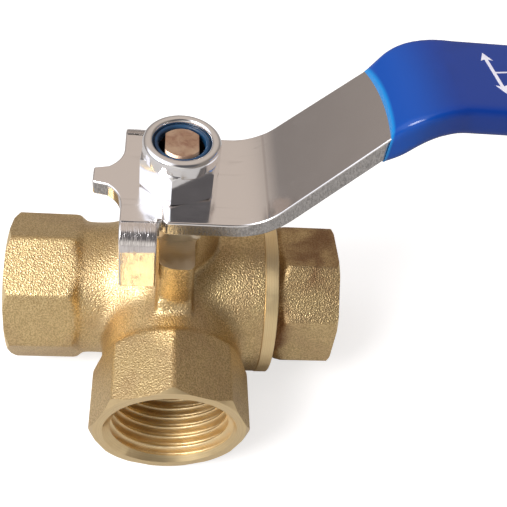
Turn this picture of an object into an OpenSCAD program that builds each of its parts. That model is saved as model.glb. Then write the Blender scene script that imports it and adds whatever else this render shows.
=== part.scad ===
// Three way ball valve for half inch pipe, with a cranked lever.
//
// The axes of the ports and of the stem cross at the origin, the centre of
// the ball. +X leads out of the end cap, -Y out of the front port and +Z up
// the stem. The lever is drawn over the end cap, at one of its two stops.
// The ball has a T-shaped waterway: drawn, it joins the front port and the
// end cap, and half a turn further it joins the front port and the left port.

/* [Ports] */
// Width across the flats of the octagonal ends
flats_w = 24; // [23.6:0.1:29]
// Radius of the port walls, the minor radius of a half inch pipe thread
port_r = 9.32; // [7.5:0.01:9.6]
// Depth of each port's thread
thread_len = 11.3; // [9:0.1:12]
// Distance from the ball's centre to the left port's face
left_len = 27.9; // [26.6:0.1:36]
// Distance from the ball's centre to the front port's face
front_len = 28.8; // [26.6:0.1:36]
// Distance from the ball's centre to the end cap's face
cap_len = 28.4; // [27.4:0.1:36]
// Length of the octagon on the left and front ports
octagon_len = 12.2; // [9:0.1:12.6]
// Turned chamfer on the corners of each octagonal end
end_chamfer = 0.8; // [0.4:0.1:1.5]

/* [Ball and seats] */
// Radius of the ball
ball_r = 10.6; // [9.6:0.1:12.8]
// Radius of the waterway through the body and the ball
bore_r = 5.5; // [4:0.1:6]
// Outer radius of the four seat rings
seat_r = 7.3; // [6.9:0.1:7.5]
// Thickness of each seat ring behind the edge that meets the ball
seat_depth = 4; // [3.4:0.1:4.8]
// Gap between the ball and the chamber around it
chamber_gap = 0.6; // [0.4:0.1:1.2]
// Wall of the body around the chamber
body_wall = 3; // [2.6:0.1:4]

/* [End cap] */
// Length of the cap's threaded spigot inside the body
spigot_len = 6.7; // [5.5:0.1:8.5]
// Width of the gasket's face
gasket_w = 1; // [0.8:0.1:1.3]
// Thickness of the gasket
gasket_t = 0.6; // [0.4:0.1:1]
// Thickness of the cap's turned flange
flange_t = 2.3; // [1.8:0.1:3]
// Length of the round recess between the flange and the cap's octagon
recess_len = 0.8; // [0.5:0.1:2.2]
// Turn of the cap's octagon from the body's, in degrees
cap_turn = 28; // [0:1:44]

/* [Stem and gland] */
// Radius of the stem in the body's boss
stem_r = 4; // [3.6:0.1:4.4]
// Radius of the stem's threaded end
stem_end_r = 3.45; // [3.2:0.05:3.55]
// Width across the two flats of the stem's end
stem_flats = 5; // [4.4:0.1:5.6]
// Wall of the boss around the gland
boss_wall = 1.7; // [1.4:0.1:2.2]
// Thickness of each packing ring
packing_t = 1.5; // [1.2:0.1:1.9]
// Thickness of the gland nut
gland_nut_t = 2.8; // [2.2:0.1:3.4]
// Thickness of the O-rings on the stem
oring_d = 1.3; // [1:0.1:1.5]

/* [Lever] */
// Thickness of the lever's steel strip
lever_t = 2.7; // [2:0.1:3.3]
// Width of the lever at the stem
lever_w = 19.2; // [17.6:0.1:21]
// Width of the lever where it meets the grip
lever_neck_w = 16.6; // [15.2:0.1:18]
// Distance from the stem's axis to the end of the strip
lever_len = 93; // [78:1:130]
// Distance from the stem's axis to the lower bend
low_bend_x = 12.7; // [11.4:0.1:15.5]
// Distance from the stem's axis to the upper bend
high_bend_x = 32.9; // [28:0.1:40]
// Height of the crank between the two bends
crank_h = 22.2; // [18:0.1:27]
// Outer face of each stop tab, from the lever's centre line
tab_y = 12.9; // [11:0.1:15.5]
// Width of each stop tab
tab_w = 5.6; // [4.6:0.1:6.6]
// Width of the stop post on the body
post_w = 5.4; // [4.6:0.1:6.6]
// Length of the stop tabs below the lever's top face
tab_len = 11.3; // [9.5:0.1:12.5]
// Height of the stop post's top above the lower ends of the tabs
post_rise = 4.2; // [3:0.1:5.5]

/* [Grip] */
// Thickness of the grip
grip_t = 4.7; // [3.9:0.1:6]
// Width of the grip along the straight
grip_w = 16.4; // [15.2:0.1:20]
// Length of the grip below the upper bend, along the strip
grip_drop = 7.2; // [5.5:0.1:9]

/* [Lock nut] */
// Width of the lock nut across its flats
nut_w = 11.2; // [9.6:0.1:13]
// Height of the nut's hexagon
nut_h = 6.2; // [5:0.1:7.5]
// Height of the round collar that holds the nylon insert
collar_h = 1.85; // [1.5:0.05:2.4]
// Turn of the nut when tight, in degrees
nut_turn = 18; // [0:1:60]

/* [Hidden] */
$fn = 96;

// Clearances: a turning fit, a still fit, a thread, the stop, and the lever over the boss.
turn_gap = 0.05;
still_gap = 0.05;
thread_gap = 0.1;
stop_gap = 0.5;
lever_gap = 0.43;

// How far a cutting solid runs past what it cuts.
over = 1;

// Octagonal ends: corners, turned face, turned neck behind them and the slope between the two.
corner_r = flats_w / 2 / cos(22.5);
face_r = flats_w / 2 + 0.15;
neck_r = flats_w / 2 - 0.3;
shoulder_len = 1.2;

// Ports: the cone at the mouth of the thread and the drill's cone at its foot.
port_mouth = 1.4;
port_drill = 1.5;

// Chamber, seats and spigot, worked outwards from the ball.
chamber_r = ball_r + chamber_gap;
barrel_r = chamber_r + body_wall;
seat_edge = sqrt(pow(ball_r, 2) - pow(seat_r, 2));
seat_back = seat_edge + seat_depth;
pocket_lip = 0.85;
chamber_end = sqrt(pow(ball_r, 2) - pow(seat_r - pocket_lip, 2));
spigot_r = chamber_r + gasket_w + thread_gap;
cap_bore_r = spigot_r + thread_gap;
flange_x = chamber_end + spigot_len;
flange_step = 0.4;
flange_r = barrel_r + flange_step;
recess_x = flange_x + flange_t;
recess_r = neck_r - 0.4;
cap_octagon_x = recess_x + recess_len;

// Barrel: the fillet beside the left octagon, and the swell from the neck to the full barrel.
fillet_r = 0.6;
fillet_x = -left_len + octagon_len + 1;
swell_len = 7.2;
swell_x = -chamber_end - 3.4;

// Stem stack, worked upwards from the ball.
tang_t = 2.8;
slot_gap = 0.1;
slot_depth = 2.5;
slot_z = ball_r - slot_depth;
shoulder_z = ball_r + 0.9;
shoulder_r = stem_r + 1;
shoulder_gap = 0.15;
tang_w = 2 * shoulder_r - 1;
shoulder_t = 1.1;
thrust_z = shoulder_z + shoulder_t;
thrust_t = 0.6;
journal_z = thrust_z + thrust_t + turn_gap;
oring_land = 0.7;
groove_gap = 0.1;
oring_low_z = journal_z + oring_d / 2 + 1.05;
oring_high_z = oring_low_z + oring_d + oring_land;
packing_w = 1.3;
gland_r = stem_r + packing_w;
gland_z = oring_high_z + oring_d / 2 + 0.85;
follower_z = gland_z + 2 * packing_t;
follower_t = 0.8;
gland_nut_z = follower_z + follower_t;
nut_slot_w = 1.6;
nut_slot_d = 1.2;
boss_r = gland_r + boss_wall;
boss_top = gland_nut_z + gland_nut_t + 0.2;
lever_z = boss_top + lever_gap;
lever_top = lever_z + lever_t;
hex_top = lever_top + nut_h;
nut_top = hex_top + collar_h;
stem_top = nut_top - 0.65;
nut_bore_r = stem_end_r + still_gap;
insert_w = 1.35;
insert_r = nut_bore_r + insert_w;
insert_drop = 0.3;

// Lever plan: a blunt pointer, two scallops, two bent tabs and a tapering strip.
tip_x = -13.3;
tip_y = 1.6;
scallop_r = 5;
scallop_y = 6.25;
scallop_end_y = 2.05;
side_x = -(post_w / 2 + stop_gap + tab_w);
tab_x = -(post_w / 2 + stop_gap);
bend_in_r = 0.6;
bend_out_r = bend_in_r + lever_t;
tab_root_y = tab_y - bend_out_r;
tab_z = lever_top - tab_len;
notch_w = 0.7;
notch_y = tab_root_y - 0.6;
tongue_w = 14;
tongue_x = high_bend_x + 5;
end_round = 5;

// Crank of the lever, on the strip's middle surface.
mid_z = lever_z + lever_t / 2;
grip_z = mid_z + crank_h;
crank_a = atan2(crank_h, high_bend_x - low_bend_x);
low_bend_r = 11;
high_bend_r = 11;
low_tangent = low_bend_r * tan(crank_a / 2);
high_tangent = high_bend_r * tan(crank_a / 2);
slope_len = norm([high_bend_x - low_bend_x, crank_h]);
grip_start = slope_len - grip_drop;
mouth_x = low_bend_x + grip_start * cos(crank_a);

// Grip: how far the coat runs past the strip's end, and its wall beside the strip at the mouth.
grip_cap = 2.2;
grip_wall = 0.8;
grip_end_x = lever_len + grip_cap;
grip_mouth_w = lever_neck_w + 2 * grip_wall;

// Stop post, reaching almost as far as the tabs, and its sloped foot on the front port's neck.
post_y = tab_y - 0.3;
post_z = tab_z + post_rise;
post_foot = 1.4;

// Unit vector at an angle.
function unit(a) = [cos(a), sin(a)];

// Points of an arc about c, from angle a to angle b.
function arc(c, r, a, b, n = 10) = [for (i = [0:n]) c + r * unit(a + (b - a) * i / n)];

// A list of points in the opposite order.
function flip(p) = [for (i = [len(p) - 1:-1:0]) p[i]];

// A list of points mirrored in the first axis.
function mirrored(p) = [for (q = flip(p)) [q[0], -q[1]]];

// Lower bend and upper bend of the strip, at distance d above its middle.
function low_bend(d) =
    arc([low_bend_x - low_tangent, mid_z + low_bend_r], low_bend_r - d, -90, crank_a - 90);
function high_bend(d) =
    arc([high_bend_x + high_tangent, grip_z - high_bend_r], high_bend_r + d, 90 + crank_a, 90);

// Point on the slope, at distance s from the lower bend and d above the middle.
function slope_point(s, d) = [low_bend_x, mid_z] + s * unit(crank_a) + d * unit(crank_a + 90);

// Side of the whole strip and of the stretch inside the grip, at distance d above the middle.
function strip_side(d) =
    concat([[tip_x - over, mid_z + d]], low_bend(d), high_bend(d), [[lever_len, grip_z + d]]);
function grip_side(s, d, x) = concat([slope_point(s, d)], high_bend(d), [[x, grip_z + d]]);

// Places a child drawn along +Z so that it runs along +X, -X, +Y or -Y from the centre.
module along_x() { rotate([0, 90, 0]) children(); }
module along_minus_x() { rotate([0, -90, 0]) children(); }
module along_y() { rotate([-90, 0, 0]) children(); }
module along_minus_y() { rotate([90, 0, 0]) children(); }

// A flat ring or a tube from z = a to z = b.
module ring(r, hole_r, a, b) {
    translate([0, 0, a]) difference() {
        cylinder(r = r, h = b - a);
        translate([0, 0, -over]) cylinder(r = hole_r, h = b - a + 2 * over);
    }
}

// A cylinder from z = a to z = b.
module rod(r, a, b) {
    translate([0, 0, a]) cylinder(r = r, h = b - a);
}

// Octagonal end from z = a to its face at z = b, with both ends turned.
module octagon_end(a, b) {
    intersection() {
        translate([0, 0, a]) cylinder(r = corner_r, h = b - a, $fn = 8);
        rotate_extrude() polygon([[0, a], [neck_r, a], [corner_r + 0.05, a + shoulder_len],
            [corner_r + 0.05, b - end_chamfer], [face_r, b], [0, b]]);
    }
}

// Threaded bore at its minor radius, with a turned mouth and a drilled cone, out to a face at z = b.
module port_bore(b) {
    floor_z = b - thread_len;
    mouth_r = port_r + port_mouth;
    rod(port_r, floor_z, b + over);
    rotate_extrude() polygon([[0, b - port_mouth], [port_r, b - port_mouth], [mouth_r, b],
        [mouth_r, b + over], [0, b + over]]);
    rotate_extrude() polygon([[0, floor_z - port_drill], [bore_r, floor_z - port_drill],
        [port_r, floor_z], [0, floor_z]]);
}

// Barrel about the X axis: neck, swelling over the ball and straight run to the joint.
module barrel() {
    start_x = fillet_x - 1.5;
    along_x() rotate_extrude() polygon(concat(
        [[0, start_x], [neck_r + fillet_r, start_x], [neck_r, fillet_x], [neck_r, swell_x]],
        [for (t = [0.125:0.125:1])
            [neck_r + (barrel_r - neck_r) * (1 - cos(180 * t)) / 2, swell_x + swell_len * t]],
        [[flange_r - 0.05, flange_x], [0, flange_x]]));
}

// Stop post: a forged rib on the front port's neck, with a milled top.
module post() {
    translate([post_w / 2, 0, 0]) rotate([0, -90, 0]) linear_extrude(post_w)
        polygon([[0, 0], [0, -post_y - post_foot], [neck_r - 0.5, -post_y - post_foot],
            [neck_r + post_foot, -post_y], [post_z, -post_y], [post_z, 0]]);
}

// Room for the stem, its shoulder, the packing and the gland nut.
module stem_room() {
    rod(shoulder_r + shoulder_gap, 0, journal_z);
    rod(stem_r + turn_gap, 0, boss_top + over);
    rod(gland_r, gland_z, boss_top + over);
}

module valve_body() {
    color("goldenrod") difference() {
        union() {
            along_minus_x() octagon_end(left_len - octagon_len, left_len);
            barrel();
            along_minus_y() octagon_end(front_len - octagon_len, front_len);
            along_minus_y() rod(neck_r, 0, front_len - octagon_len + 0.6);
            sphere(r = barrel_r);
            rod(boss_r, 0, boss_top);
            post();
        }
        along_x() rod(chamber_r, -chamber_end, chamber_end);
        along_x() rod(cap_bore_r, chamber_end - gasket_t, flange_x + over);
        along_minus_x() rod(seat_r + still_gap, 0, seat_back);
        along_minus_y() rod(seat_r + still_gap, 0, seat_back);
        along_y() rod(seat_r + still_gap, 0, seat_back);
        along_minus_x() rod(bore_r, 0, left_len);
        along_minus_y() rod(bore_r, 0, front_len);
        along_minus_x() port_bore(left_len);
        along_minus_y() port_bore(front_len);
        stem_room();
    }
}

module end_cap() {
    color("goldenrod") along_x() difference() {
        union() {
            rod(spigot_r, chamber_end, flange_x);
            rod(flange_r, flange_x, recess_x);
            rod(recess_r, recess_x, cap_octagon_x);
            rotate([0, 0, -cap_turn]) octagon_end(cap_octagon_x - fillet_r, cap_len);
        }
        rod(seat_r + still_gap, 0, seat_back);
        rod(bore_r, 0, cap_len);
        port_bore(cap_len);
    }
}

module cap_gasket() {
    color("white") along_x() ring(spigot_r, chamber_r + 0.05, chamber_end - gasket_t, chamber_end);
}

module ball() {
    color("silver") difference() {
        sphere(r = ball_r);
        rotate([90, 0, 0]) cylinder(r = bore_r, h = 3 * ball_r, center = true);
        along_x() rod(bore_r, 0, ball_r + over);
        translate([-ball_r, -tang_t / 2 - slot_gap, slot_z])
            cube([2 * ball_r, tang_t + 2 * slot_gap, ball_r]);
    }
}

// One seat ring, drawn along +Z from the ball to its pocket.
module seat() {
    color("ivory") difference() {
        ring(seat_r, bore_r, seat_edge - 0.2, seat_back);
        sphere(r = ball_r + turn_gap);
    }
}

module seat_left() { along_minus_x() seat(); }
module seat_right() { along_x() seat(); }
module seat_front() { along_minus_y() seat(); }
module seat_rear() { along_y() seat(); }

// Plan of the stem's end and of the hole that it drives, grown by gap.
module double_flat(gap) {
    intersection() {
        circle(r = stem_end_r + gap);
        square([stem_flats + 2 * gap, 3 * stem_end_r], center = true);
    }
}

module stem() {
    groove_r = stem_r - oring_d;
    color("peru") difference() {
        union() {
            translate([-tang_w / 2, -tang_t / 2, slot_z + slot_gap])
                cube([tang_w, tang_t, shoulder_z - slot_z]);
            rod(shoulder_r, shoulder_z, thrust_z);
            rod(stem_r, thrust_z, lever_z);
            translate([0, 0, lever_z]) linear_extrude(stem_top - lever_z) double_flat(0);
        }
        for (z = [oring_low_z, oring_high_z])
            ring(stem_r + over, groove_r, z - oring_d / 2 - groove_gap, z + oring_d / 2 + groove_gap);
    }
}

module thrust_washer() {
    color("white") ring(shoulder_r, stem_r, thrust_z, thrust_z + thrust_t);
}

// One O-ring in its groove on the stem.
module oring(z) {
    color("black") translate([0, 0, z]) rotate_extrude() translate([stem_r - oring_d / 2, 0])
        circle(d = oring_d, $fn = 48);
}

module stem_oring_lower() { oring(oring_low_z); }
module stem_oring_upper() { oring(oring_high_z); }

module packing_lower() {
    color("white") ring(gland_r, stem_r + turn_gap, gland_z, gland_z + packing_t);
}

module packing_upper() {
    color("white") ring(gland_r, stem_r + turn_gap, gland_z + packing_t, follower_z);
}

module gland_follower() {
    color("silver") ring(gland_r, stem_r + turn_gap, follower_z, gland_nut_z);
}

module gland_nut() {
    color("goldenrod") difference() {
        ring(gland_r, stem_r + turn_gap, gland_nut_z, gland_nut_z + gland_nut_t);
        translate([-nut_slot_w / 2, -2 * gland_r, gland_nut_z + gland_nut_t - nut_slot_d])
            cube([nut_slot_w, 4 * gland_r, nut_slot_d + over]);
    }
}

// Half of the lever's plan, from the pointer round to the far end.
function lever_half() = concat(
    [[tip_x, tip_y]],
    arc([side_x - scallop_r, scallop_y], scallop_r, -asin((scallop_y - scallop_end_y) / scallop_r), 0),
    [[side_x, tab_root_y], [tab_x, tab_root_y], [tab_x, notch_y], [tab_x + notch_w, notch_y],
        [tab_x + notch_w, lever_w / 2], [low_bend_x, lever_w / 2],
        [mouth_x, lever_neck_w / 2], [tongue_x, tongue_w / 2]],
    arc([lever_len - end_round, tongue_w / 2 - end_round], end_round, 90, 0));

// One stop tab, bent down from the strip's edge on the -Y side.
module tab() {
    bend_c = [-tab_y + bend_out_r, lever_top - bend_out_r];
    root_y = bend_c[0] + 0.2;
    translate([side_x, 0, 0]) rotate([90, 0, 90]) linear_extrude(tab_w) polygon(concat(
        [[root_y, lever_top]], arc(bend_c, bend_out_r, 90, 180),
        [[-tab_y, tab_z], [-tab_y + lever_t, tab_z]],
        arc(bend_c, bend_in_r, 180, 90), [[root_y, lever_z]]));
}

module lever() {
    color("gainsboro") difference() {
        union() {
            intersection() {
                translate([0, lever_w, 0]) rotate([90, 0, 0]) linear_extrude(2 * lever_w)
                    polygon(concat(strip_side(lever_t / 2), flip(strip_side(-lever_t / 2))));
                linear_extrude(grip_z + lever_t) polygon(concat(lever_half(), mirrored(lever_half())));
            }
            tab();
            mirror([0, 1, 0]) tab();
        }
        translate([0, 0, lever_z - over]) linear_extrude(lever_t + 2 * over) double_flat(still_gap);
    }
}

// Plan of the grip's outside.
module grip_plan() {
    half = concat([[mouth_x - 4, grip_mouth_w / 2], [mouth_x, grip_mouth_w / 2], [tongue_x, grip_w / 2]],
        arc([grip_end_x - end_round, grip_w / 2 - end_round], end_round, 90, 0));
    polygon(concat(half, mirrored(half)));
}

// Plan of the grip's socket, which is the strip's plan grown by the still fit.
module socket_plan() {
    half = concat([[mouth_x - 5, lever_neck_w / 2 + 0.5], [mouth_x, lever_neck_w / 2 + 2 * still_gap],
        [tongue_x, tongue_w / 2 + 2 * still_gap]],
        arc([lever_len - end_round, tongue_w / 2 - end_round], end_round + still_gap, 90, 0));
    polygon(concat(half, mirrored(half)));
}

module grip() {
    fit = lever_t / 2 + still_gap;
    color("royalblue") difference() {
        intersection() {
            translate([0, grip_mouth_w, 0]) rotate([90, 0, 0]) linear_extrude(2 * grip_mouth_w)
                polygon(concat(grip_side(grip_start, grip_t / 2, grip_end_x - grip_t / 2),
                    arc([grip_end_x - grip_t / 2, grip_z], grip_t / 2, 90, -90),
                    flip(grip_side(grip_start, -grip_t / 2, grip_end_x - grip_t / 2))));
            linear_extrude(grip_z + grip_t) grip_plan();
        }
        intersection() {
            translate([0, grip_mouth_w, 0]) rotate([90, 0, 0]) linear_extrude(2 * grip_mouth_w)
                polygon(concat(grip_side(grip_start - 2, fit, lever_len + still_gap),
                    flip(grip_side(grip_start - 2, -fit, lever_len + still_gap))));
            linear_extrude(grip_z + grip_t) socket_plan();
        }
    }
}

module lock_nut() {
    foot_chamfer = 0.4;
    top_chamfer = 0.8;
    collar_chamfer = 0.5;
    collar_r = nut_w / 2 + 0.3;
    nut_corner_r = nut_w / 2 / cos(30);
    color("silver") difference() {
        union() {
            intersection() {
                translate([0, 0, lever_top]) rotate([0, 0, nut_turn])
                    cylinder(r = nut_corner_r, h = nut_h, $fn = 6);
                rotate_extrude() polygon([[0, lever_top], [nut_w / 2, lever_top],
                    [nut_corner_r, lever_top + foot_chamfer], [nut_corner_r, hex_top - top_chamfer],
                    [nut_w / 2, hex_top], [0, hex_top]]);
            }
            rotate_extrude() polygon([[0, hex_top - over], [collar_r, hex_top - over],
                [collar_r, nut_top - collar_chamfer], [collar_r - collar_chamfer, nut_top], [0, nut_top]]);
        }
        rod(nut_bore_r, lever_top - over, nut_top + over);
        rod(insert_r, hex_top, nut_top + over);
    }
}

module nylon_insert() {
    color("dodgerblue") ring(insert_r, nut_bore_r, hex_top, nut_top - insert_drop);
}

valve_body();
end_cap();
cap_gasket();
ball();
seat_left();
seat_right();
seat_front();
seat_rear();
stem();
thrust_washer();
stem_oring_lower();
stem_oring_upper();
packing_lower();
packing_upper();
gland_follower();
gland_nut();
lever();
grip();
lock_nut();
nylon_insert();
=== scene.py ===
"""Looks of a three way ball valve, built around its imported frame.

The classes hold their sizes in millimetres, and every mesh is written in metres on the frame's own axes:
+X leads out of the end cap, -Y out of the front port and +Z up the stem. Pieces that stand for a node of
the frame are modelled at the node's own size and place, and the nodes that stay get a finish in their slots.
"""

import logging
import math
from collections.abc import Callable, Iterator, Sequence
from contextlib import contextmanager
from dataclasses import dataclass
from enum import Enum

import bpy
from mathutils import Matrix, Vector


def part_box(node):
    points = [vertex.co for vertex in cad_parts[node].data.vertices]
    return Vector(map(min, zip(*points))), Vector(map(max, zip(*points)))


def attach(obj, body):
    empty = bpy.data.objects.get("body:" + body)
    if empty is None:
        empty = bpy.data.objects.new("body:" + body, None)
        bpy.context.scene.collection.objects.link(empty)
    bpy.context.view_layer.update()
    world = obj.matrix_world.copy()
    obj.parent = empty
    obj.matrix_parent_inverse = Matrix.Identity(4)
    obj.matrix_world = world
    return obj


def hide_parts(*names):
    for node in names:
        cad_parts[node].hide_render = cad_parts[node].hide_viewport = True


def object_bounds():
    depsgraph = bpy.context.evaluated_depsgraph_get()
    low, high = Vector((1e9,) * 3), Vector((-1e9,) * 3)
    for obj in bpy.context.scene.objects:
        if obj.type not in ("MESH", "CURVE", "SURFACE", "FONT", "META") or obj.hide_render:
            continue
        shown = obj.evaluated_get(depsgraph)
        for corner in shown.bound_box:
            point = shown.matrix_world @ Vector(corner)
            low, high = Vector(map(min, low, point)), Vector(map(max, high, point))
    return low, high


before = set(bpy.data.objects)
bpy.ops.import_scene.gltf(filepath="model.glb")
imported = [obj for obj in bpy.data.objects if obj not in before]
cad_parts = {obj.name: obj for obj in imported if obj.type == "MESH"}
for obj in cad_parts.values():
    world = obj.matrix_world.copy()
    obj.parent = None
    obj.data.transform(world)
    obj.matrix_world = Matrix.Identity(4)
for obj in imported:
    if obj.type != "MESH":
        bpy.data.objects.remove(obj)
CAD_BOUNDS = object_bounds()

MM = 0.001
OVERCUT = 1.0  # How far a tool or a blank runs on past the surface that it makes, in millimetres.
TOOL_RADIUS = 22.0  # Reach of the turning tools, clear of everything they cut.
Point = tuple[float, float]
Colour = tuple[float, float, float]
log = logging.getLogger("valve")


class Axis(Enum):
    """Ways that a turned solid can point, as the turn that carries +Z there."""

    UP = (0.0, 0.0, 0.0)
    LEFT = (0.0, -math.pi / 2, 0.0)
    CAP = (0.0, math.pi / 2, 0.0)
    FRONT = (math.pi / 2, 0.0, 0.0)
    REAR = (-math.pi / 2, 0.0, 0.0)


class Drawn(Enum):
    """Planes that an outline is drawn in, as its two directions and its normal."""

    PLAN = (Vector((1, 0, 0)), Vector((0, 1, 0)), Vector((0, 0, 1)))
    SIDE = (Vector((1, 0, 0)), Vector((0, 0, 1)), Vector((0, 1, 0)))
    END = (Vector((0, 1, 0)), Vector((0, 0, 1)), Vector((1, 0, 0)))


class Join(Enum):
    """Ways that one solid is combined with another."""

    ADD = "UNION"
    CUT = "DIFFERENCE"
    KEEP = "INTERSECT"


class Body(Enum):
    """Moving bodies of the frame."""

    HOUSING = "body"
    LEVER = "handle"


# Modelling with the operators.


def only(obj: bpy.types.Object) -> None:
    """Makes one object the selected and active one.

    Args:
        obj: The object.
    """
    bpy.ops.object.select_all(action="DESELECT")
    obj.select_set(True)
    bpy.context.view_layer.objects.active = obj


@contextmanager
def editing(obj: bpy.types.Object, pick: str = "FACE") -> Iterator[None]:
    """Opens obj in edit mode.

    Args:
        obj: The mesh object.
        pick: The select mode, VERT, EDGE or FACE.
    """
    only(obj)
    bpy.ops.object.mode_set(mode="EDIT")
    bpy.ops.mesh.select_mode(type=pick)
    yield
    bpy.ops.object.mode_set(mode="OBJECT")


def settle(obj: bpy.types.Object) -> None:
    """Writes the object's place and turn into its mesh."""
    only(obj)
    bpy.ops.object.transform_apply(location=True, rotation=True, scale=True)


def new_primitive(name: str) -> bpy.types.Object:
    """Names the primitive just added, and writes its place into its mesh.

    Args:
        name: The new object's name.

    Returns:
        The new object.
    """
    made = bpy.context.object
    made.name = name
    settle(made)
    return made


def face_outwards() -> None:
    """Merges doubles and turns all faces outwards, in edit mode."""
    bpy.ops.mesh.select_all(action="SELECT")
    bpy.ops.mesh.remove_doubles(threshold=1e-7)
    bpy.ops.mesh.normals_make_consistent(inside=False)


def pick_faces(obj: bpy.types.Object, wanted: Callable[[Vector, Vector], bool]) -> int:
    """Selects faces by their place and normal, in object mode.

    Args:
        obj: The mesh object.
        wanted: Tells from a face's centre in millimetres and its normal whether it is wanted.

    Returns:
        How many faces were picked.
    """
    mesh = obj.data
    picked = [wanted(face.center / MM, face.normal) for face in mesh.polygons]
    mesh.vertices.foreach_set("select", [False] * len(mesh.vertices))
    mesh.edges.foreach_set("select", [False] * len(mesh.edges))
    mesh.polygons.foreach_set("select", picked)
    return sum(picked)


def wear(obj: bpy.types.Object, finish: bpy.types.Material | None) -> bpy.types.Object:
    """Gives a piece its first finish.

    Args:
        obj: The piece.
        finish: The finish, or None for a tool that leaves no faces of its own.

    Returns:
        The piece.
    """
    if finish is not None:
        obj.data.materials.append(finish)
    return obj


def turned(
    name: str,
    profile: Sequence[Point],
    axis: Axis = Axis.UP,
    finish: bpy.types.Material | None = None,
    steps: int = 96,
    hollow: bool = False,
) -> bpy.types.Object:
    """Turns a closed solid on the lathe.

    Args:
        name: The object's name.
        profile: Radius and height of each step, from one end to the other, or right round a hollow wall.
        axis: Where the heights point.
        finish: What the solid is made of.
        steps: Steps round the axis.
        hollow: Whether the profile closes on itself, as a ring's does.

    Returns:
        The solid.
    """
    radius, height = profile[0]
    bpy.ops.object.select_all(action="DESELECT")
    bpy.ops.mesh.primitive_circle_add(
        vertices=steps,
        radius=radius * MM,
        fill_type="NOTHING" if hollow else "NGON",
        location=(0, 0, height * MM),
    )
    made = new_primitive(name)
    path = [*profile[1:], profile[0]] if hollow else profile[1:]
    with editing(made, "EDGE" if hollow else "FACE"):
        bpy.ops.mesh.select_all(action="SELECT")
        for next_radius, next_height in path:
            bpy.ops.mesh.extrude_region_move(
                TRANSFORM_OT_translate={"value": (0, 0, (next_height - height) * MM)}
            )
            ratio = next_radius / radius
            bpy.ops.transform.resize(value=(ratio, ratio, 1), center_override=(0, 0, next_height * MM))
            radius, height = next_radius, next_height
        face_outwards()
    made.rotation_euler = axis.value
    settle(made)
    return wear(made, finish)


def prism(
    name: str,
    sides: int,
    corner_radius: float,
    span: Point,
    axis: Axis,
    turn: float = 0.0,
    finish: bpy.types.Material | None = None,
) -> bpy.types.Object:
    """Makes a bar with flat sides.

    Args:
        name: The object's name.
        sides: Number of flats.
        corner_radius: Distance from the axis to a corner.
        span: Heights of the two ends.
        axis: Where the heights point.
        turn: Turn about the axis, in degrees.
        finish: What the bar is made of.

    Returns:
        The bar.
    """
    bpy.ops.object.select_all(action="DESELECT")
    bpy.ops.mesh.primitive_cylinder_add(
        vertices=sides,
        radius=corner_radius * MM,
        depth=(span[1] - span[0]) * MM,
        location=(0, 0, (span[0] + span[1]) / 2 * MM),
        rotation=(0, 0, math.radians(turn - 90)),
    )
    made = new_primitive(name)
    made.rotation_euler = axis.value
    settle(made)
    return wear(made, finish)


def plate(
    name: str,
    outline: Sequence[Point],
    drawn: Drawn,
    span: Point,
    finish: bpy.types.Material | None = None,
) -> bpy.types.Object:
    """Draws an outline from point to point and gives it a thickness.

    Args:
        name: The object's name.
        outline: The outline's points, in order.
        drawn: The plane it is drawn in.
        span: Where the thickness starts and ends, along the plane's normal.
        finish: What the plate is made of.

    Returns:
        The plate.
    """
    across, up, normal = drawn.value
    places = [(across * a + up * b + normal * span[0]) * MM for a, b in outline]
    bpy.ops.object.select_all(action="DESELECT")
    bpy.ops.mesh.primitive_plane_add(size=MM)
    made = new_primitive(name)
    with editing(made, "VERT"):
        bpy.ops.mesh.select_all(action="SELECT")
        bpy.ops.mesh.merge(type="CENTER")
        bpy.ops.transform.translate(value=places[0])
        for here, after in zip(places, places[1:]):
            bpy.ops.mesh.extrude_region_move(TRANSFORM_OT_translate={"value": after - here})
        bpy.ops.mesh.select_all(action="SELECT")
        bpy.ops.mesh.edge_face_add()
        bpy.ops.mesh.select_mode(type="FACE")
        bpy.ops.mesh.select_all(action="SELECT")
        bpy.ops.mesh.extrude_region_move(
            TRANSFORM_OT_translate={"value": normal * ((span[1] - span[0]) * MM)}
        )
        face_outwards()
    return wear(made, finish)


def modified(obj: bpy.types.Object, kind: str, **settings: object) -> bpy.types.Object:
    """Adds a modifier and applies it.

    Args:
        obj: The mesh object.
        kind: The modifier's type.
        **settings: The modifier's settings.

    Returns:
        The same object.
    """
    only(obj)
    modifier = obj.modifiers.new(kind.lower(), kind)
    for key, value in settings.items():
        setattr(modifier, key, value)
    bpy.ops.object.modifier_apply(modifier=modifier.name)
    return obj


def bevelled(
    obj: bpy.types.Object, width: float, segments: int, angle: float, clamp: bool = True
) -> bpy.types.Object:
    """Rounds the edges that are sharper than an angle.

    Args:
        obj: The mesh object.
        width: Width of the round.
        segments: Steps across the round.
        angle: The angle in degrees.
        clamp: Whether rounds stop short of each other.

    Returns:
        The same object.
    """
    return modified(
        obj,
        "BEVEL",
        width=width * MM,
        segments=segments,
        limit_method="ANGLE",
        angle_limit=math.radians(angle),
        use_clamp_overlap=clamp,
    )


def softened(obj: bpy.types.Object, voxel: float, passes: int) -> bpy.types.Object:
    """Gives a solid the soft edges and run-together corners of a forging or a dip.

    Args:
        obj: The mesh object.
        voxel: Size of the new mesh's steps.
        passes: How often it is smoothed.

    Returns:
        The same object.
    """
    modified(obj, "REMESH", mode="VOXEL", voxel_size=voxel * MM)
    return modified(obj, "SMOOTH", factor=0.5, iterations=passes)


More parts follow.
